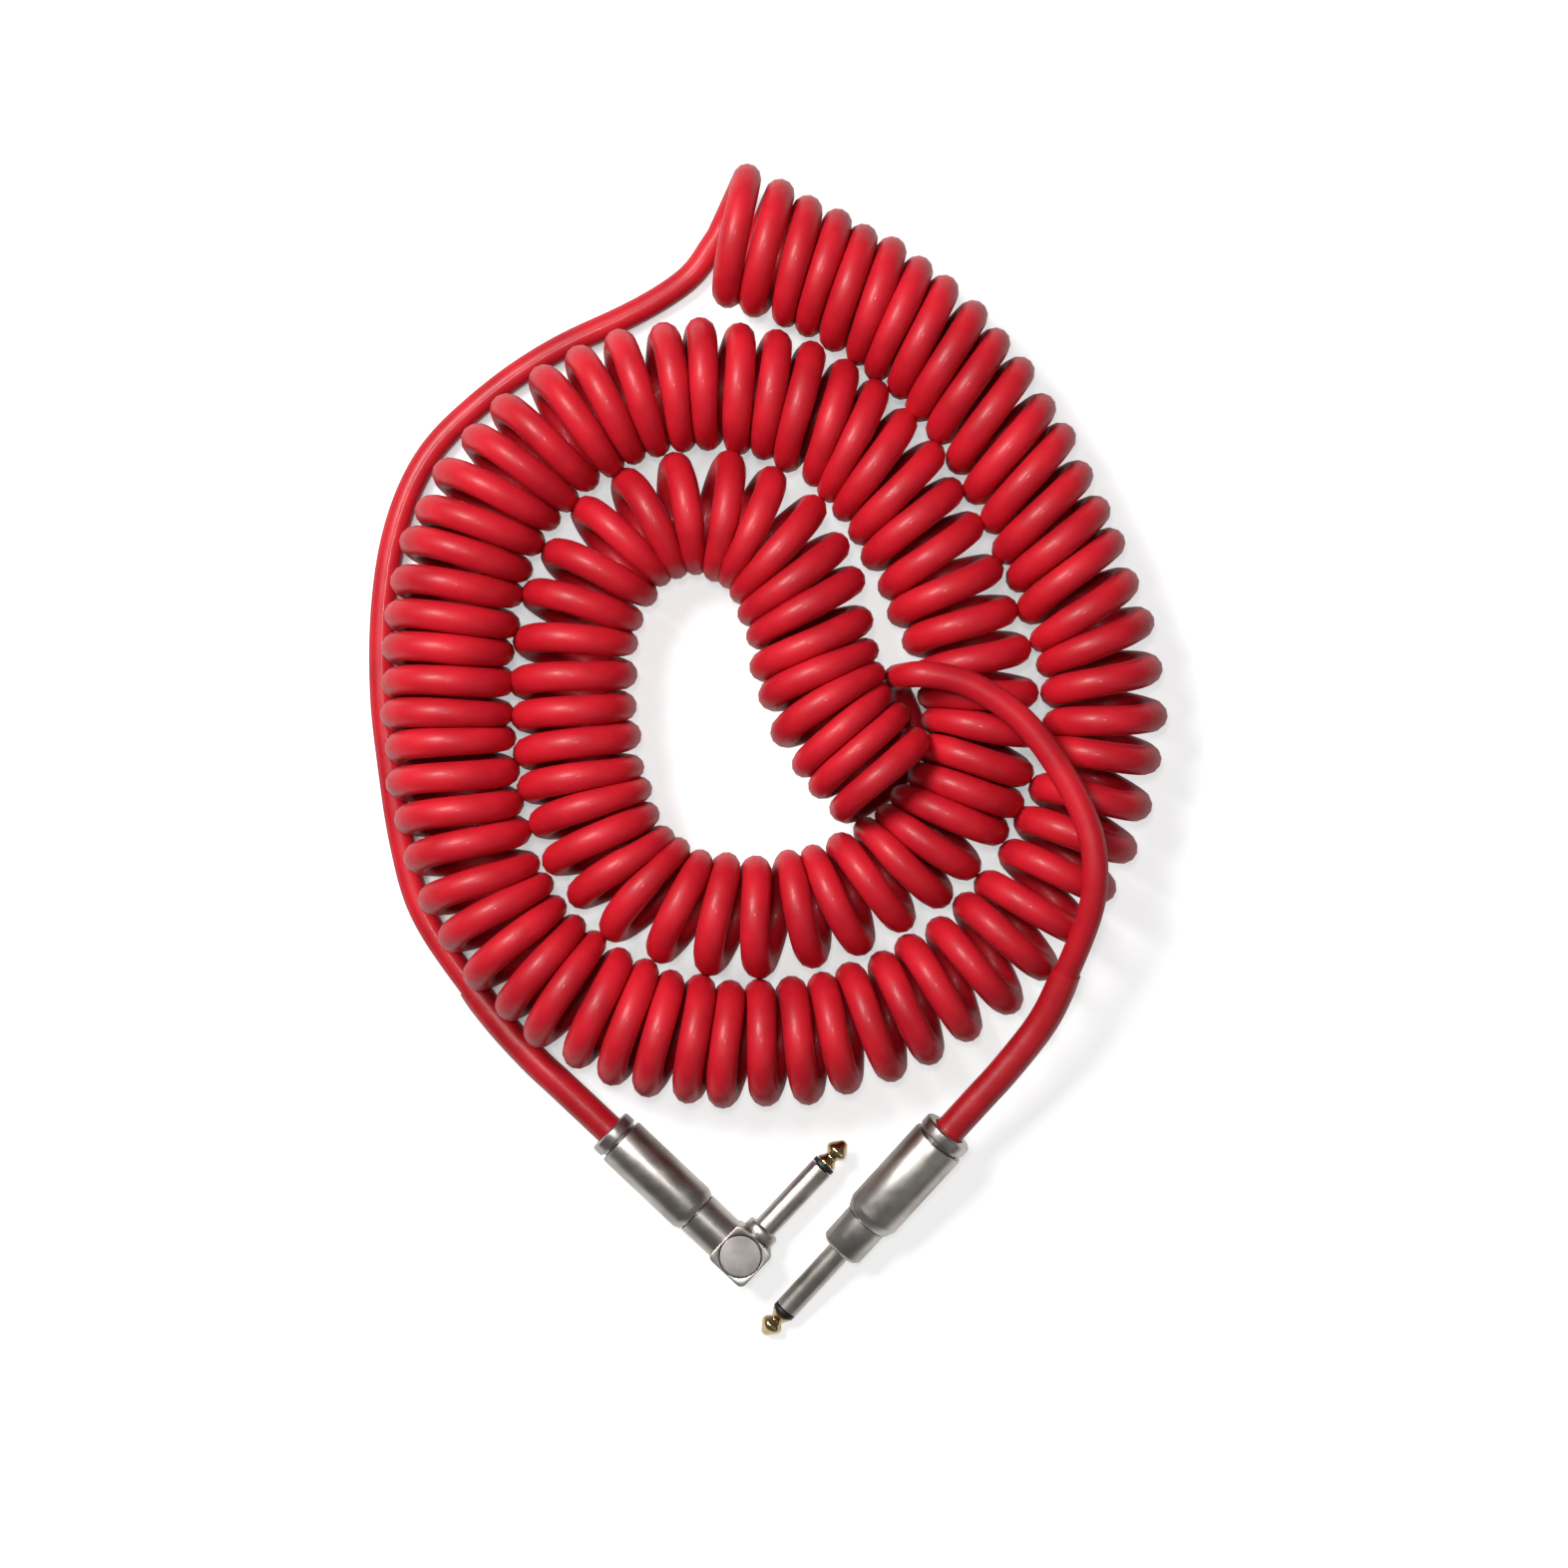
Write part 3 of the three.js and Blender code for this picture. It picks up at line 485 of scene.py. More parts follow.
class SmoothLine:
    """A uniform cubic B-spline, with its spots pushed outward so that it all but meets each one."""

    def __init__(self, spots: Sequence[Vector]) -> None:
        """Fit the line.

        Args:
            spots: The points that it goes past.
        """
        self.last = len(spots) - 1
        ends = (spots[0] * 2 - spots[1], spots[-1] * 2 - spots[-2])
        around = [ends[0], *spots, ends[1]]
        pushed = [(spot * 8 - around[i] - around[i + 2]) / 6 for i, spot in enumerate(spots)]
        self.spots = [ends[0], *pushed, ends[1]]

    def at(self, place: float) -> tuple[Vector, Vector]:
        """The point and the unit direction at a place.

        Args:
            place: The place, counted in spots from the first.

        Returns:
            The point and the direction.
        """
        inside = min(max(place, 0.0), float(self.last))
        span = min(int(inside), self.last - 1)
        w = inside - span
        v = 1 - w
        weights = (v ** 3, 3 * w ** 3 - 6 * w ** 2 + 4, 3 * v ** 3 - 6 * v ** 2 + 4, w ** 3)
        slopes = (-(v ** 2), 3 * w ** 2 - 4 * w, 4 * v - 3 * v ** 2, w ** 2)
        near = self.spots[span:span + 4]
        point = sum((spot * weight for spot, weight in zip(near, weights)), Vector()) / 6
        along = sum((spot * slope for spot, slope in zip(near, slopes)), Vector()) / 2
        return point + along * (place - inside), along.normalized()

    def points(self, steps: int) -> list[Vector]:
        """Points along the whole line, so many in each span, with both ends."""
        return [self.at(step / steps)[0] for step in range(self.last * steps + 1)]


def eased(share: float) -> float:
    """A share from 0 to 1, with a slow start and end."""
    return share * share * (3 - 2 * share)


def reading(entries: Pairs, count: float) -> float:
    """Read a list of (curl, value), eased from each entry to the next.

    Args:
        entries: The list.
        count: The curl.

    Returns:
        The value there.
    """
    if count <= entries[0][0]:
        return entries[0][1]
    for (at0, value0), (at1, value1) in zip(entries, entries[1:]):
        if count <= at1:
            return value0 + (value1 - value0) * eased((count - at0) / (at1 - at0))
    return entries[-1][1]


# ---- camera, light and table


@dataclass(frozen=True)
class StraightDownCamera:
    """A camera high over the table, looking straight down."""

    height: float = 1.1
    lens: float = 93.2
    sensor: float = 36.0
    nearest: float = 0.01
    farthest: float = 20.0

    def make(self) -> None:
        """Place the camera over the middle of the picture."""
        data = bpy.data.cameras.new("camera")
        data.lens = self.lens
        data.sensor_width = data.sensor_height = self.sensor
        data.clip_start = self.nearest
        data.clip_end = self.farthest
        camera = linked("camera", data)
        camera.location = TO_ORIGIN + UP * self.height
        bpy.context.scene.camera = camera
        log.info("camera %.2f m over the table", self.height)


@dataclass(frozen=True)
class SoftLamp:
    """A white, square soft lamp aimed at the middle of the cable."""

    name: str
    place: tuple[float, float, float]
    size: float
    power: float

    def make(self) -> None:
        """Hang the lamp."""
        data = bpy.data.lights.new(self.name, "AREA")
        data.shape = "SQUARE"
        data.size = self.size
        data.energy = self.power
        lamp = linked(self.name, data)
        lamp.location = TO_ORIGIN + Vector(self.place)
        lamp.rotation_euler = (TO_ORIGIN - lamp.location).to_track_quat("-Z", "Y").to_euler()
        log.info("%s: %.1f W", self.name, self.power)


@dataclass(frozen=True)
class Studio:
    """The table, the lamps and the pale room."""

    table_size: float = 6.0
    table_drop: float = 0.0002
    room: float = 0.11
    lamps: tuple[SoftLamp, ...] = (
        SoftLamp("key_lamp", (-0.42, 0.36, 0.8), 0.34, 9.6),
        SoftLamp("top_lamp", (-0.04, 0.1, 1.2), 0.08, 2.6),
        SoftLamp("fill_lamp", (0.8, -0.6, 1.1), 1.4, 1.2),
    )

    def make(self) -> None:
        """Build the table, just under the cable, and the light."""
        shape = bmesh.new()
        bmesh.ops.create_grid(shape, x_segments=1, y_segments=1, size=self.table_size / 2)
        bmesh.ops.translate(shape, vec=TO_ORIGIN - UP * self.table_drop, verts=shape.verts)
        mesh = mesh_of(shape, "table")
        mesh.materials.append(material_of(FloorFinish()))
        linked("table", mesh)
        for lamp in self.lamps:
            lamp.make()
        self.make_room()
        bpy.context.scene.view_settings.view_transform = "Standard"

    def make_room(self) -> None:
        """Light the room evenly, and show it as white to the camera."""
        board = Board("room", world=True)
        seen = board.add("ShaderNodeLightPath").outputs["Is Camera Ray"]
        strength = board.spread(seen, 0.0, 1.0, self.room, 1.0)
        inputs = {"Color": (1.0, 1.0, 1.0, 1.0), "Strength": strength}
        light = board.add("ShaderNodeBackground", inputs)
        board.add("ShaderNodeOutputWorld", {"Surface": light.outputs["Background"]})
        bpy.context.scene.world = board.owner


# ---- the cord


@dataclass(frozen=True)
class PlugPlace:
    """Where a plug lies: its zero and the way its axis points."""

    zero: Vector
    heading: Vector

    def matrix(self, quarter_turn: bool = False) -> Matrix:
        """The place of a piece made about +Y.

        Args:
            quarter_turn: Whether the piece's +Y runs across, along the plug's own +X.

        Returns:
            The placing matrix.
        """
        y = self.heading.normalized()
        x = y.cross(UP).normalized()
        z = x.cross(y)
        basis = Matrix((x, y, z)).transposed().to_4x4()
        turn = Matrix.Rotation(-QUARTER if quarter_turn else 0.0, 4, "Z")
        return Matrix.Translation(self.zero + TO_ORIGIN) @ basis @ turn


STRAIGHT_PLACE = PlugPlace(Vector((0.0152, -0.1252, 0.00785)), Vector((-0.665, -0.747, -0.1763)))
ELBOW_PLACE = PlugPlace(Vector((-0.0117, -0.1264, 0.00705)), Vector((0.685, 0.728, 0.0)))

STRAIGHT_LENGTH = 44.2  # shoulder to the rear face of the collar
HEAD_TO_COLLAR_END = 48.5  # from the elbow's head to the rear face of its collar
CORD_END_INSET = 16.0  # from the collar's rear face in to the cut end of the jacket
STRAIGHT_RUN = 21.0  # the cord stays straight this far behind the collar


@dataclass(frozen=True)
class Coil:
    """The curly part of the cord, wound about an axis that lies in a spiral on the table.

    The axis has a point at every third curl. The other lists give, at curls counted from the
    elbow plug's end, the curls' width, how far they lean, how far they are lifted, and how far
    the first one is drawn along the axis. Each beat is the pace and the start of one way in
    which the curls are uneven.
    """

    steps: int = 26
    thickest: float = 0.0040
    thinnest: float = 0.0034
    curls_per_spot: int = 3
    first_turn: float = 0.5
    last_turn: float = 112.25
    axis: Pairs = (
        (-0.0120, 0.1455), (0.0105, 0.1360), (0.0307, 0.1242), (0.0492, 0.1062), (0.0651, 0.0808),
        (0.0762, 0.0553), (0.0853, 0.0272), (0.0815, -0.0033), (0.0666, -0.0330), (0.0410, -0.0547),
        (0.0135, -0.0665), (-0.0155, -0.0690), (-0.0415, -0.0635), (-0.0655, -0.0485),
        (-0.0815, -0.0255), (-0.0880, 0.0025), (-0.0895, 0.0270), (-0.0870, 0.0525),
        (-0.0765, 0.0770), (-0.0550, 0.0970), (-0.0295, 0.1060), (-0.0035, 0.1035),
        (0.0191, 0.0912), (0.0344, 0.0692), (0.0468, 0.0418), (0.0527, 0.0147), (0.0440, -0.0088),
        (0.0230, -0.0265), (-0.0070, -0.0355), (-0.0380, -0.0280), (-0.0520, -0.0055),
        (-0.0555, 0.0190), (-0.0540, 0.0475), (-0.0350, 0.0710), (-0.0065, 0.0680),
        (0.0060, 0.0455), (0.0105, 0.0215), (0.0255, 0.0025),
    )
    width: Pairs = (
        (1, 0.0388), (2.5, 0.0362), (4, 0.0350), (7, 0.0350), (13, 0.0340), (16, 0.0340),
        (19, 0.0336), (25, 0.0338), (34, 0.0348), (37, 0.0354), (42, 0.0348), (46, 0.0358),
        (52, 0.0364), (58, 0.0362), (64, 0.0354), (67, 0.0344), (70, 0.0340), (76, 0.0328),
        (79, 0.0324), (88, 0.0338), (91, 0.0350), (100, 0.0334), (103, 0.0356), (109, 0.0347),
        (112, 0.0342),
    )
    lean: Pairs = (
        (4, 0.0010), (7, 0.0035), (13, 0.0060), (16, 0.0035), (19, -0.0015), (22, -0.0025),
        (25, -0.0005), (28, -0.0035), (34, -0.0045), (37, -0.0025), (40, -0.0025), (43, -0.0055),
        (49, -0.0040), (52, -0.0020), (55, 0.0010), (58, -0.0010), (61, -0.0025), (64, 0.0005),
        (67, 0.0050), (70, 0.0015), (73, -0.0050), (76, -0.0070), (79, 0.0025), (82, 0.0),
        (85, -0.0055), (88, -0.0070), (91, -0.0035), (97, -0.0020), (101, -0.0010),
        (106, 0.0040), (109, 0.0015), (112, -0.0030),
    )
    rise: Pairs = ((101, 0.0), (104, 0.0018), (107, 0.0055), (109, 0.0078), (113, 0.0082))
    pull: Pairs = ((0.5, -0.0020), (0.8, -0.0016), (1.2, 0.0))
    unevenness: float = 0.00035
    squeeze: float = 0.25
    quiver: float = 0.6
    beats: Pairs = ((1.9, 0.0), (2.7, 1.0), (2.3, 0.0), (3.7, 2.0))

    def points(self) -> list[Vector]:
        """The middle of the cord, curl by curl.

        Returns:
            The points, from the first curl's foot to the inner side of the last curl.
        """
        total = round((self.last_turn - self.first_turn) * self.steps)
        share = (self.last_turn - self.first_turn) / total
        turns = [self.first_turn + share * step for step in range(total + 1)]
        line = SmoothLine([Vector((x, y, 0.0)) for x, y in self.axis])
        even = [self.point(line, turn, self.thickest) for turn in turns]
        radii = self.radii(even)
        return [self.point(line, turn, radius) for turn, radius in zip(turns, radii)]

    def point(self, line: SmoothLine, turn: float, thickness: float) -> Vector:
        """One point of the cord's middle.

        Args:
            line: The coil's axis on the table.
            turn: The curl, from its top, and the share of the next.
            thickness: The cord's radius there, which leaves the curl's width as it is.

        Returns:
            The point.
        """
        point, along = line.at((turn - 1) / self.curls_per_spot)
        inward = along.cross(UP)
        angle = 2 * math.pi * turn
        uneven = self.unevenness * min(turn - self.first_turn, self.last_turn - turn, 1.0)
        tight, aside, ahead, again = (math.sin(pace * turn + start) for pace, start in self.beats)
        reach = reading(self.width, turn) / 2
        radius = reach - thickness - self.squeeze * uneven * (1 + tight)
        point += UP * (reach + reading(self.rise, turn) + radius * math.cos(angle))
        point += inward * (radius * math.sin(angle) + uneven * aside)
        shift = uneven * (ahead + self.quiver * again) + reading(self.pull, turn)
        return point + along * (reading(self.lean, turn) / 2 * math.sin(angle) + shift)

    def radii(self, points: Sequence[Vector]) -> list[float]:
        """The cord's radius at each point: full, or less where the next curls press on it.

        Args:
            points: The middle of the cord along the coil.

        Returns:
            The radii.
        """
        last = len(points) - 1
        radii = []
        for number, point in enumerate(points):
            nearest = (number - self.steps, number + self.steps)
            beside = [other for other in nearest if 0 <= other <= last]
            room = min((points[other] - point).length for other in beside) / 2
            radii.append(min(max(room, self.thinnest), self.thickest))
        return radii


@dataclass(frozen=True)
class Lead:
    """A plain stretch of the cord, from the cut end of its jacket in a plug to the coil.

    The collar's end and the spacing of the straight run's points are in millimetres. The route
    and the last points, which stand back from the coil by the meeting's distances, are in metres.
    """

    place: PlugPlace
    backward: Vector
    collar_end: float
    route: Sequence[tuple[float, float, float]]
    spacing: float = 6.0
    steps: int = 6
    meeting: tuple[float, ...] = (0.0085, 0.0058, 0.0030, 0.0)

    def straight_points(self) -> list[Vector]:
        """The straight run through the plug and the front of its sleeve."""
        start = self.collar_end - CORD_END_INSET
        end = self.collar_end + STRAIGHT_RUN
        runs = math.ceil((end - start) / self.spacing)
        run = (end - start) / runs
        way = self.backward.normalized()
        return [self.place.zero + way * ((start + run * turn) * MM) for turn in range(runs + 1)]

    def points(self, coil_end: Vector, coil_way: Vector) -> list[Vector]:
        """Points along the lead.

        Args:
            coil_end: Where the coil starts or ends.
            coil_way: The way the cord leaves the coil there.

        Returns:
            The points, from the plug to just short of the coil's own.
        """
        meeting = [coil_end + coil_way * distance for distance in self.meeting]
        spots = [*self.straight_points(), *(Vector(spot) for spot in self.route), *meeting]
        return SmoothLine(spots).points(self.steps)[:-1]


ELBOW_LEAD = Lead(
    place=ELBOW_PLACE,
    backward=Vector((-0.728, 0.685, 0.0)),
    collar_end=HEAD_TO_COLLAR_END,
    route=(
        (-0.0665, -0.0750, 0.0066), (-0.0768, -0.0642, 0.0052), (-0.0856, -0.0527, 0.0044),
        (-0.0941, -0.0409, 0.0038), (-0.0994, -0.0304, 0.0036), (-0.1022, -0.0199, 0.0036),
        (-0.1044, -0.0092, 0.0036), (-0.1059, 0.0016, 0.0036), (-0.1073, 0.0124, 0.0036),
        (-0.1084, 0.0236, 0.0036), (-0.1086, 0.0386, 0.0036), (-0.1079, 0.0501, 0.0036),
        (-0.1064, 0.0615, 0.0036), (-0.1037, 0.0722, 0.0036), (-0.0995, 0.0826, 0.0036),
        (-0.0935, 0.0919, 0.0036), (-0.0854, 0.0999, 0.0036), (-0.0767, 0.1072, 0.0036),
        (-0.0690, 0.1126, 0.0036), (-0.0614, 0.1172, 0.0036), (-0.0538, 0.1210, 0.0036),
        (-0.0462, 0.1244, 0.0036), (-0.0386, 0.1282, 0.0036), (-0.0318, 0.1322, 0.0036),
        (-0.0258, 0.1366, 0.0036),
    ),
)

STRAIGHT_LEAD = Lead(
    place=STRAIGHT_PLACE,
    backward=Vector((0.665, 0.747, 0.1763)),
    collar_end=STRAIGHT_LENGTH,
    route=(
        (0.0666, -0.0663, 0.0216), (0.0710, -0.0588, 0.0238), (0.0744, -0.0507, 0.0262),
        (0.0768, -0.0446, 0.0288), (0.0793, -0.0376, 0.0320), (0.0812, -0.0299, 0.0352),
        (0.0815, -0.0206, 0.0369), (0.0802, -0.0128, 0.0369), (0.0775, -0.0057, 0.0369),
        (0.0736, 0.0016, 0.0369), (0.0689, 0.0089, 0.0369), (0.0637, 0.0154, 0.0369),
        (0.0572, 0.0211, 0.0369), (0.0507, 0.0251, 0.0369), (0.0454, 0.0273, 0.0369),
        (0.0402, 0.0284, 0.0369), (0.0352, 0.0288, 0.0360), (0.0324, 0.0286, 0.0320),
        (0.0306, 0.0284, 0.0250), (0.0296, 0.0280, 0.0175), (0.0300, 0.0264, 0.0105),
        (0.0320, 0.0224, 0.0056), (0.0342, 0.0170, 0.0040), (0.0346, 0.0110, 0.0038),
        (0.0322, 0.0046, 0.0039), (0.0280, -0.0006, 0.0039), (0.0222, -0.0046, 0.0056),
        (0.0178, -0.0072, 0.0107),
    ),
)


@dataclass(frozen=True)
class Cable:
    """The red cord from plug to plug, in metres, with a sleeve behind each plug, in millimetres."""

    coil: Coil = Coil()
    elbow_lead: Lead = ELBOW_LEAD
    straight_lead: Lead = STRAIGHT_LEAD
    cord_radius: float = 0.0035
    cord_roundness: int = 4
    usual_diameter: float = 0.0075
    lead_in: tuple[float, float, float] = (-0.55, -0.835, 0.0)
    sleeve_radius: float = 4.15
    sleeve_wall: float = 0.5
    sleeve_shrink: float = 0.35
    sleeve_taper: float = 5.0
    sleeve_start: float = CORD_END_INSET - 9.0
    sleeve_end: float = CORD_END_INSET + 55.0
    sleeve_sides: int = 40

    def stretches(self) -> tuple[list[Vector], list[Vector], list[Vector]]:
        """The three stretches of the cord's middle.

        Returns:
            The elbow plug's lead, the coil, and the straight plug's lead, each from its plug.
        """
        coil = self.coil.points()
        into = self.elbow_lead.points(coil[0], Vector(self.lead_in))
        out = self.straight_lead.points(coil[-1], -UP)
        return into, coil, out

    def make(self) -> None:
        """Build the cord and its sleeves."""
        into, coil, out = self.stretches()
        route = [point + TO_ORIGIN for point in [*into, *coil, *reversed(out)]]
        fullness = [1.0] * len(into) + self.fullness(coil) + [1.0] * len(out)
        data = bpy.data.curves.new("cord", "CURVE")
        data.dimensions = "3D"
        data.bevel_depth = self.cord_radius
        data.bevel_resolution = self.cord_roundness
        data.use_fill_caps = True
        data.twist_mode = "MINIMUM"
        spline = data.splines.new("POLY")
        spline.points.add(len(route) - 1)
        for spot, point, share in zip(spline.points, route, fullness):
            spot.co = (*point, 1.0)
            spot.radius = share
        spline.use_smooth = True
        data.materials.append(material_of(JACKET))
        cord = linked("cord", data)
        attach(cord, Body.CABLE.value)
        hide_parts("lead_to_elbow_plug", "curly_cord", "lead_to_straight_plug")
        sleeves = [
            showpiece(self.sleeve_shape(lead), f"{plug}_sleeve", SLEEVE, Body.CABLE,
                      f"{plug}_cord_sleeve", sharp=50.0)
            for plug, lead in (("elbow", into), ("straight", out))
        ]

    def fullness(self, coil: Sequence[Vector]) -> list[float]:
        """How thick the cord is along the coil, as a share of its thickness on the leads.

        Args:
            coil: The middle of the cord along the coil.

        Returns:
            The shares, eased in from 1 over the first and the last half turn.
        """
        ease = self.coil.steps / 2
        shares = []
        for number, radius in enumerate(self.coil.radii(coil)):
            inside = min(number, len(coil) - 1 - number, ease) / ease
            shares.append(1 + (radius / self.cord_radius - 1) * eased(inside))
        return shares

    def covered(self, lead: Sequence[Vector]) -> list[tuple[Vector, float]]:
        """The points of a lead that its sleeve covers.

        Args:
            lead: The lead's points, from its plug.

        Returns:
            Each covered point in its place, with its distance along the lead.
        """
        covered = []
        walked = 0.0
        for before, after in zip(lead, lead[1:]):
            if self.sleeve_start * MM <= walked <= self.sleeve_end * MM:
                covered.append((before + TO_ORIGIN, walked))
            walked += (after - before).length
        return covered

    def sleeve_shape(self, lead: Sequence[Vector]) -> Shape:
        """The sleeve that covers the start of a lead and shrinks on to the cord at its end.

        Args:
            lead: The lead's points, from its plug.

        Returns:
            The shape in its place.
        """
        covered = self.covered(lead)
        shape = bmesh.new()
        own = shape.verts.layers.float_vector.new("local")
        rings = []
        for number, (point, distance) in enumerate(covered):
            before = covered[max(number - 1, 0)][0]
            after = covered[min(number + 1, len(covered) - 1)][0]
            along = (after - before).normalized()
            across = along.cross(UP).normalized()
            basis = Matrix((across, along, across.cross(along))).transposed().to_4x4()
            place = Matrix.Translation(point) @ basis @ Matrix.Rotation(QUARTER, 4, "X")
            to_end = (self.sleeve_end * MM - distance) / (self.sleeve_taper * MM)
            radius = self.sleeve_radius - self.sleeve_shrink * max(0.0, 1 - to_end)
            made = bmesh.ops.create_circle(shape, segments=self.sleeve_sides, matrix=place,
                                           radius=radius * MM)
            for vert in made["verts"]:
                offset = basis.to_3x3().transposed() @ (vert.co - point)
                vert[own] = (offset.x, distance, offset.z)
            rings.append(edges_of(made["verts"]))
        bridged(shape, rings)
        bmesh.ops.solidify(shape, geom=shape.faces, thickness=self.sleeve_wall * MM)
        bmesh.ops.recalc_face_normals(shape, faces=shape.faces)
        return shape


# ---- plugs


THREAD_DEPTH = 0.35  # from a ridge to its root, in millimetres
THREAD_PITCH = 0.8  # from ridge to ridge


def thread(crest: float, start: float, end: float) -> list[tuple[float, float]]:
    """The outline of a thread's ridges along +Y.

    Args:
        crest: Radius at the ridges, in millimetres.
        start: Where the thread starts.
        end: Where it ends, beyond the start.

    Returns:
        The outline's points.
    """
    turns = round((end - start) / THREAD_PITCH)
    step = (end - start) / turns
    root = crest - THREAD_DEPTH
    outline = []
    for turn in range(turns):
        low = start + turn * step
        outline += [(root, low), (crest, low + 0.4 * step), (crest, low + 0.6 * step)]
    return [*outline, (root, end)]


@dataclass(frozen=True)
class JackContacts:
    """The contacts of a quarter-inch jack, from the shoulder towards the tip, in millimetres."""

    shank: float = 3.175
    shank_length: float = 22.15
    shank_edge: float = 0.12
    ring_rear: float = 22.45
    ring_front: float = 23.65
    tip_end: float = 31.75
    rod: float = 0.8
    tube_bore: float = 1.1
    tube: float = 1.8
    bore: float = 2.1
    gap: float = 0.3
    foot: float = 0.15
    segments: int = 72
    tip_outline: Pairs = (
        (2.8, 0.0), (2.8, 0.35), (2.5, 0.8), (2.1, 1.4), (1.82, 1.9), (1.72, 2.25), (1.84, 2.6),
        (2.26, 3.02), (2.72, 3.5), (2.97, 3.95), (3.03, 4.35), (2.94, 4.8), (2.64, 5.35),
        (2.16, 6.0), (1.66, 6.65), (1.24, 7.2), (0.95, 7.58), (0.55, 7.76),
    )

    def tip(self, rod_end: float) -> Shape:
        """The tip contact: cone, neck and ball, with a rod that reaches back to its end."""
        base = self.ring_front + self.gap
        ball = [(radius, base + height) for radius, height in self.tip_outline]
        rod = [(0, rod_end), (self.rod, rod_end), (self.rod, base)]
        return turned([*rod, *ball, (0, self.tip_end)], closed=False, segments=self.segments)

    def insulator(self, tube_end: float) -> Shape:
        """The black ring, with a tube that reaches back to its end inside the plug."""
        shape = turned([
            (self.tube_bore, tube_end), (self.tube, tube_end), (self.tube, self.ring_rear),
            (self.shank, self.ring_rear), (self.shank, self.ring_front),
            (self.tube_bore, self.ring_front),
        ], closed=True, segments=self.segments)
        rounded(shape, width=0.08, steps=2, least=30.0)
        return shape

    def sleeve_outline(self) -> list[tuple[float, float]]:
        """The outline of the shank, from the shoulder's face to its bore at the front."""
        return [
            (self.shank + self.foot, 0), (self.shank, self.foot),
            (self.shank, self.shank_length - self.shank_edge),
            (self.shank - self.shank_edge, self.shank_length), (self.bore, self.shank_length),
        ]


@dataclass(frozen=True)
class ShellSizes:
    """A plug's barrel and rear collar, made about +Y with the cord at -Y, in millimetres."""

    radius: float
    wall: float
    front: float
    taper: float
    collar_end: float
    lip: float = 0.45
    bore: float = 4.6
    flange_length: float = 3.2
    groove: float = 1.0
    spigot: float = 5.0
    step: float = 0.4
    gap: float = 0.3

    def barrel(self) -> Shape:
        """The screw-on barrel with its conical front."""
        rear = self.collar_end + self.flange_length + self.groove
        inner = self.radius - self.wall
        shape = turned([
            (inner, rear), (self.radius - 0.2, rear), (self.radius, rear + 0.5),
            (self.radius, self.front - self.taper - 0.25),
            (self.radius - 0.06, self.front - self.taper + 0.1),
            (inner + self.lip + 0.08, self.front - 0.15), (inner + self.lip - 0.05, self.front),
            (inner, self.front),
        ], closed=True)
        rounded(shape, width=0.1, steps=3, least=25.0)
        return shape

    def collar(self) -> Shape:
        """The rear collar: flange, groove and the spigot in the barrel."""
        rear = self.collar_end
        flange = self.radius - self.step
        flange_front = rear + self.flange_length
        groove_front = flange_front + self.groove
        inner = self.radius - self.wall - self.gap
        shape = turned([
            (self.bore, rear), (flange - 0.45, rear), (flange, rear + 0.5),
            (flange, flange_front - 0.25), (flange - 0.25, flange_front),
            (flange - 0.9, flange_front), (flange - 0.9, groove_front - self.gap),
            (inner, groove_front - self.gap), (inner, groove_front + self.spigot),
            (self.bore, groove_front + self.spigot),
        ], closed=True)
        rounded(shape, width=0.1, steps=3, least=20.0)
        return shape


@dataclass(frozen=True)
class StraightPlug:
    """The straight plug, about +Y with its shoulder at 0 and its tip at +Y, in millimetres."""

    contacts: JackContacts = JackContacts()
    shell: ShellSizes = ShellSizes(radius=7.55, wall=1.55, front=-11.0, taper=2.6,
                                   collar_end=-STRAIGHT_LENGTH)
    front: float = 6.1
    ledge: float = -10.7
    spigot: float = 5.7
    spigot_length: float = 6.3
    tube_behind: float = 0.8
    rod_behind: tuple[float, ...] = (0.5, 0.6, 0.7, 0.3, 0.5, 0.6)
    segments: int = 120

    def body_shape(self) -> Shape:
        """Shank, shoulder, plain front section and the threaded spigot."""
        rear = self.ledge - self.spigot_length
        return turned([
            (self.contacts.bore, rear),
            *thread(self.spigot, rear, self.ledge - self.contacts.gap),
            (self.spigot - THREAD_DEPTH, self.ledge),
            (self.front - 0.15, self.ledge), (self.front, self.ledge + 0.15),
            (self.front, -1.05), (self.front - 0.1, -0.85), (self.front - 0.8, -0.1),
            (self.front - 1.0, 0), *self.contacts.sleeve_outline(),
        ], closed=True, segments=self.segments)

    def make(self) -> None:
        """Build the plug's visible pieces; the rod goes on behind both washers and both lugs."""
        place = STRAIGHT_PLACE.matrix()
        washer = self.ledge - self.spigot_length - self.contacts.gap
        tip = self.contacts.tip(washer - sum(self.rod_behind))
        insulator = self.contacts.insulator(washer - self.tube_behind)
        body, shell = Body.CABLE, Body.STRAIGHT_SHELL
        show_plug("straight", (
            ("body", self.body_shape(), place, SATIN_NICKEL, body, "body"),
            ("tip", tip, place, GOLD, body, "tip_contact"),
            ("insulator", insulator, place, BLACK, body, "insulator"),
            ("barrel", self.shell.barrel(), place, SATIN_NICKEL, shell, "barrel"),
            ("collar", self.shell.collar(), place, BRIGHT_NICKEL, shell, "rear_collar"),
        ))


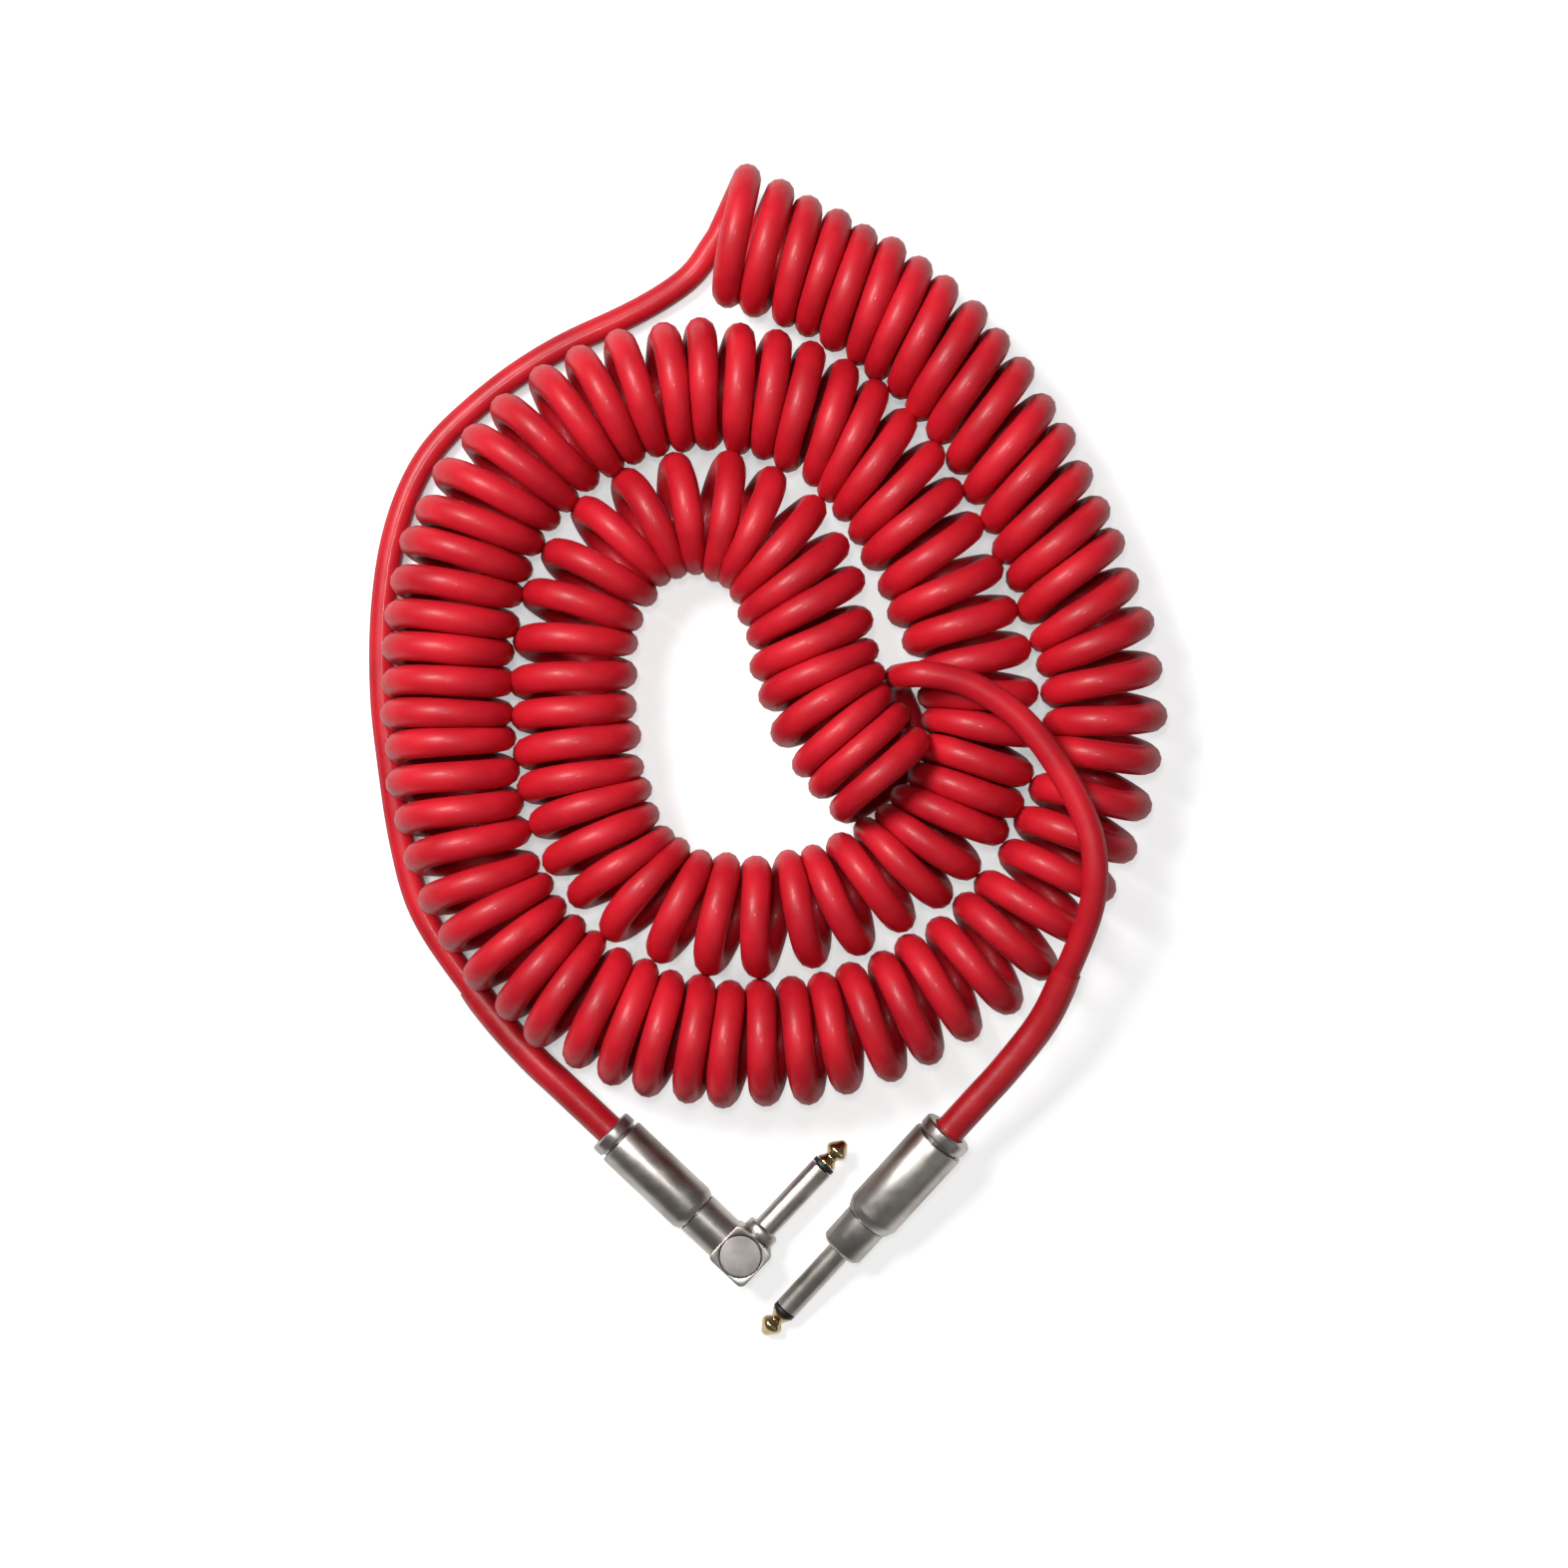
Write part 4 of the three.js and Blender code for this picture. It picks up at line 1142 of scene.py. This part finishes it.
@dataclass(frozen=True)
class ElbowPlug:
    """The right-angle plug, with its head's centre at 0, in millimetres."""

    contacts: JackContacts = JackContacts()
    shell: ShellSizes = ShellSizes(radius=6.95, wall=1.25, front=-16.5, taper=1.7,
                                   collar_end=-HEAD_TO_COLLAR_END)
    head_half: float = 6.25
    head_top: float = 6.7
    head_bevel: float = 0.3
    corner: float = 1.6
    cap: float = 5.55
    cap_depth: float = 1.6
    cap_rise: float = 0.35
    neck: float = 6.1
    neck_start: float = -4.0
    neck_end: float = -16.2
    neck_bore: float = 4.0
    bore_end: float = -9.0
    spigot: float = 5.4
    spigot_length: float = 6.3
    shoulder: float = 4.7
    shoulder_rear: float = -2.95
    seat: float = 3.0
    seat_rear: float = -4.3
    to_shoulder: float = 9.5
    rod_behind: tuple[float, ...] = (0.3, 0.6, 0.3, 1.0)
    segments: int = 96

    def squared(self, angle: float) -> float:
        """Distance from the head's middle to its rounded-square outline.

        Args:
            angle: The way, about +Z.

        Returns:
            The distance in millimetres.
        """
        across, along = abs(math.cos(angle)), abs(math.sin(angle))
        inset = self.head_half - self.corner
        plain = self.head_half / max(across, along)
        if plain * min(across, along) <= inset:
            return plain
        reach = inset * (across + along)
        return reach + math.sqrt(reach ** 2 - 2 * inset ** 2 + self.corner ** 2)

    def loop(self, shape: Shape, height: float, distance: Callable[[float], float],
             fill: bool = False) -> Edges:
        """A level loop of the head.

        Args:
            shape: The shape that it joins.
            height: Its height.
            distance: The distance from the middle, by angle.
            fill: Whether it is filled.

        Returns:
            The loop's edges.
        """
        made = bmesh.ops.create_circle(shape, cap_ends=fill, segments=self.segments, radius=1.0)
        for vert in made["verts"]:
            angle = math.atan2(vert.co.y, vert.co.x)
            radius = distance(angle) * MM
            vert.co = (radius * math.cos(angle), radius * math.sin(angle), height * MM)
        return edges_of(made["verts"])

    def head_shape(self) -> Shape:
        """The head block with the round seat of its cap, and the neck with the threaded spigot."""
        shape = bmesh.new()
        seat = self.cap + self.contacts.gap
        bridged(shape, [
            self.loop(shape, -self.head_top, self.squared, fill=True),
            self.loop(shape, self.head_top, self.squared),
            self.loop(shape, self.head_top, lambda angle: seat),
            self.loop(shape, self.head_top - self.cap_depth, lambda angle: seat, fill=True),
        ])
        rounded(shape, width=self.head_bevel, steps=4, least=50.0, beyond=seat + 0.2)
        rounded(shape, width=0.12, steps=2, least=50.0)
        spigot_end = self.neck_end - self.spigot_length
        neck = turned([
            (0, self.neck_start), (self.neck, self.neck_start), (self.neck, self.neck_end + 0.15),
            (self.neck - 0.2, self.neck_end), (self.spigot - THREAD_DEPTH, self.neck_end),
            *reversed(thread(self.spigot, spigot_end, self.neck_end - self.contacts.gap)),
            (self.neck_bore, spigot_end), (self.neck_bore, self.bore_end), (0, self.bore_end),
        ], closed=False)
        bmesh.ops.transform(neck, matrix=Matrix.Rotation(-QUARTER, 4, "Z"), verts=neck.verts)
        return joined(shape, neck)

    def shank_shape(self) -> Shape:
        """The shank with its shoulder ring."""
        return turned([
            (self.contacts.bore, self.seat_rear), (self.seat, self.seat_rear),
            (self.seat, self.shoulder_rear), (self.shoulder - 0.15, self.shoulder_rear),
            (self.shoulder, self.shoulder_rear + 0.2), (self.shoulder, -0.6),
            (self.shoulder - 0.25, -0.2), (self.shoulder - 0.6, 0),
            *self.contacts.sleeve_outline(),
        ], closed=True)

    def cap_shape(self) -> Shape:
        """The flat cap that is pressed into the head."""
        shape = bmesh.new()
        low = self.head_top - self.cap_depth + self.contacts.gap
        high = self.head_top + self.cap_rise
        bridged(shape, [self.loop(shape, height, lambda angle: self.cap, fill=True)
                        for height in (low, high)])
        rounded(shape, width=0.22, steps=4, least=50.0)
        return shape

    def make(self) -> None:
        """Build the plug's visible pieces; the rod goes on behind the seat and the lug."""
        head = ELBOW_PLACE.matrix()
        jack = head @ Matrix.Translation(Vector((0, self.to_shoulder * MM, 0)))
        side = ELBOW_PLACE.matrix(quarter_turn=True)
        tip = self.contacts.tip(self.seat_rear - sum(self.rod_behind))
        insulator = self.contacts.insulator(self.seat_rear)
        body, shell = Body.CABLE, Body.ELBOW_SHELL
        show_plug("elbow", (
            ("head", self.head_shape(), head, SATIN_NICKEL, body, "housing"),
            ("cap", self.cap_shape(), head, CAP_NICKEL, body, "cap"),
            ("shank", self.shank_shape(), jack, SATIN_NICKEL, body, "shank"),
            ("tip", tip, jack, GOLD, body, "tip_contact"),
            ("insulator", insulator, jack, BLACK, body, "insulator"),
            ("barrel", self.shell.barrel(), side, SATIN_NICKEL, shell, "barrel"),
            ("collar", self.shell.collar(), side, BRIGHT_NICKEL, shell, "rear_collar"),
        ))


@dataclass(frozen=True)
class InnerPieces:
    """The small pieces inside both plugs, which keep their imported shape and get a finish."""

    finishes: tuple = (
        (TINNED, ("ground_lug", "tip_lug")), (NYLON, ("rear_washer", "liner")),
        (SOLDER, ("solder_joint",)), (COPPER, ("screen_pigtail",)), (CORE, ("core_wire",)),
    )

    def make(self) -> None:
        """Dress each piece in each plug."""
        for finish, pieces in self.finishes:
            for name in (f"{plug}_{piece}" for piece in pieces for plug in ("straight", "elbow")):
                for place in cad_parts[name].material_slots:
                    place.material = material_of(finish)
                log.info("%s: %s", name, finish.name)


def main() -> None:
    """Build the scene: camera and cord first, then the plugs, the light and the table."""
    logging.basicConfig(level=logging.INFO, format="%(name)s: %(message)s")
    StraightDownCamera().make()
    Cable().make()
    StraightPlug().make()
    ElbowPlug().make()
    InnerPieces().make()
    Studio().make()


if __name__ == "__main__":
    main()
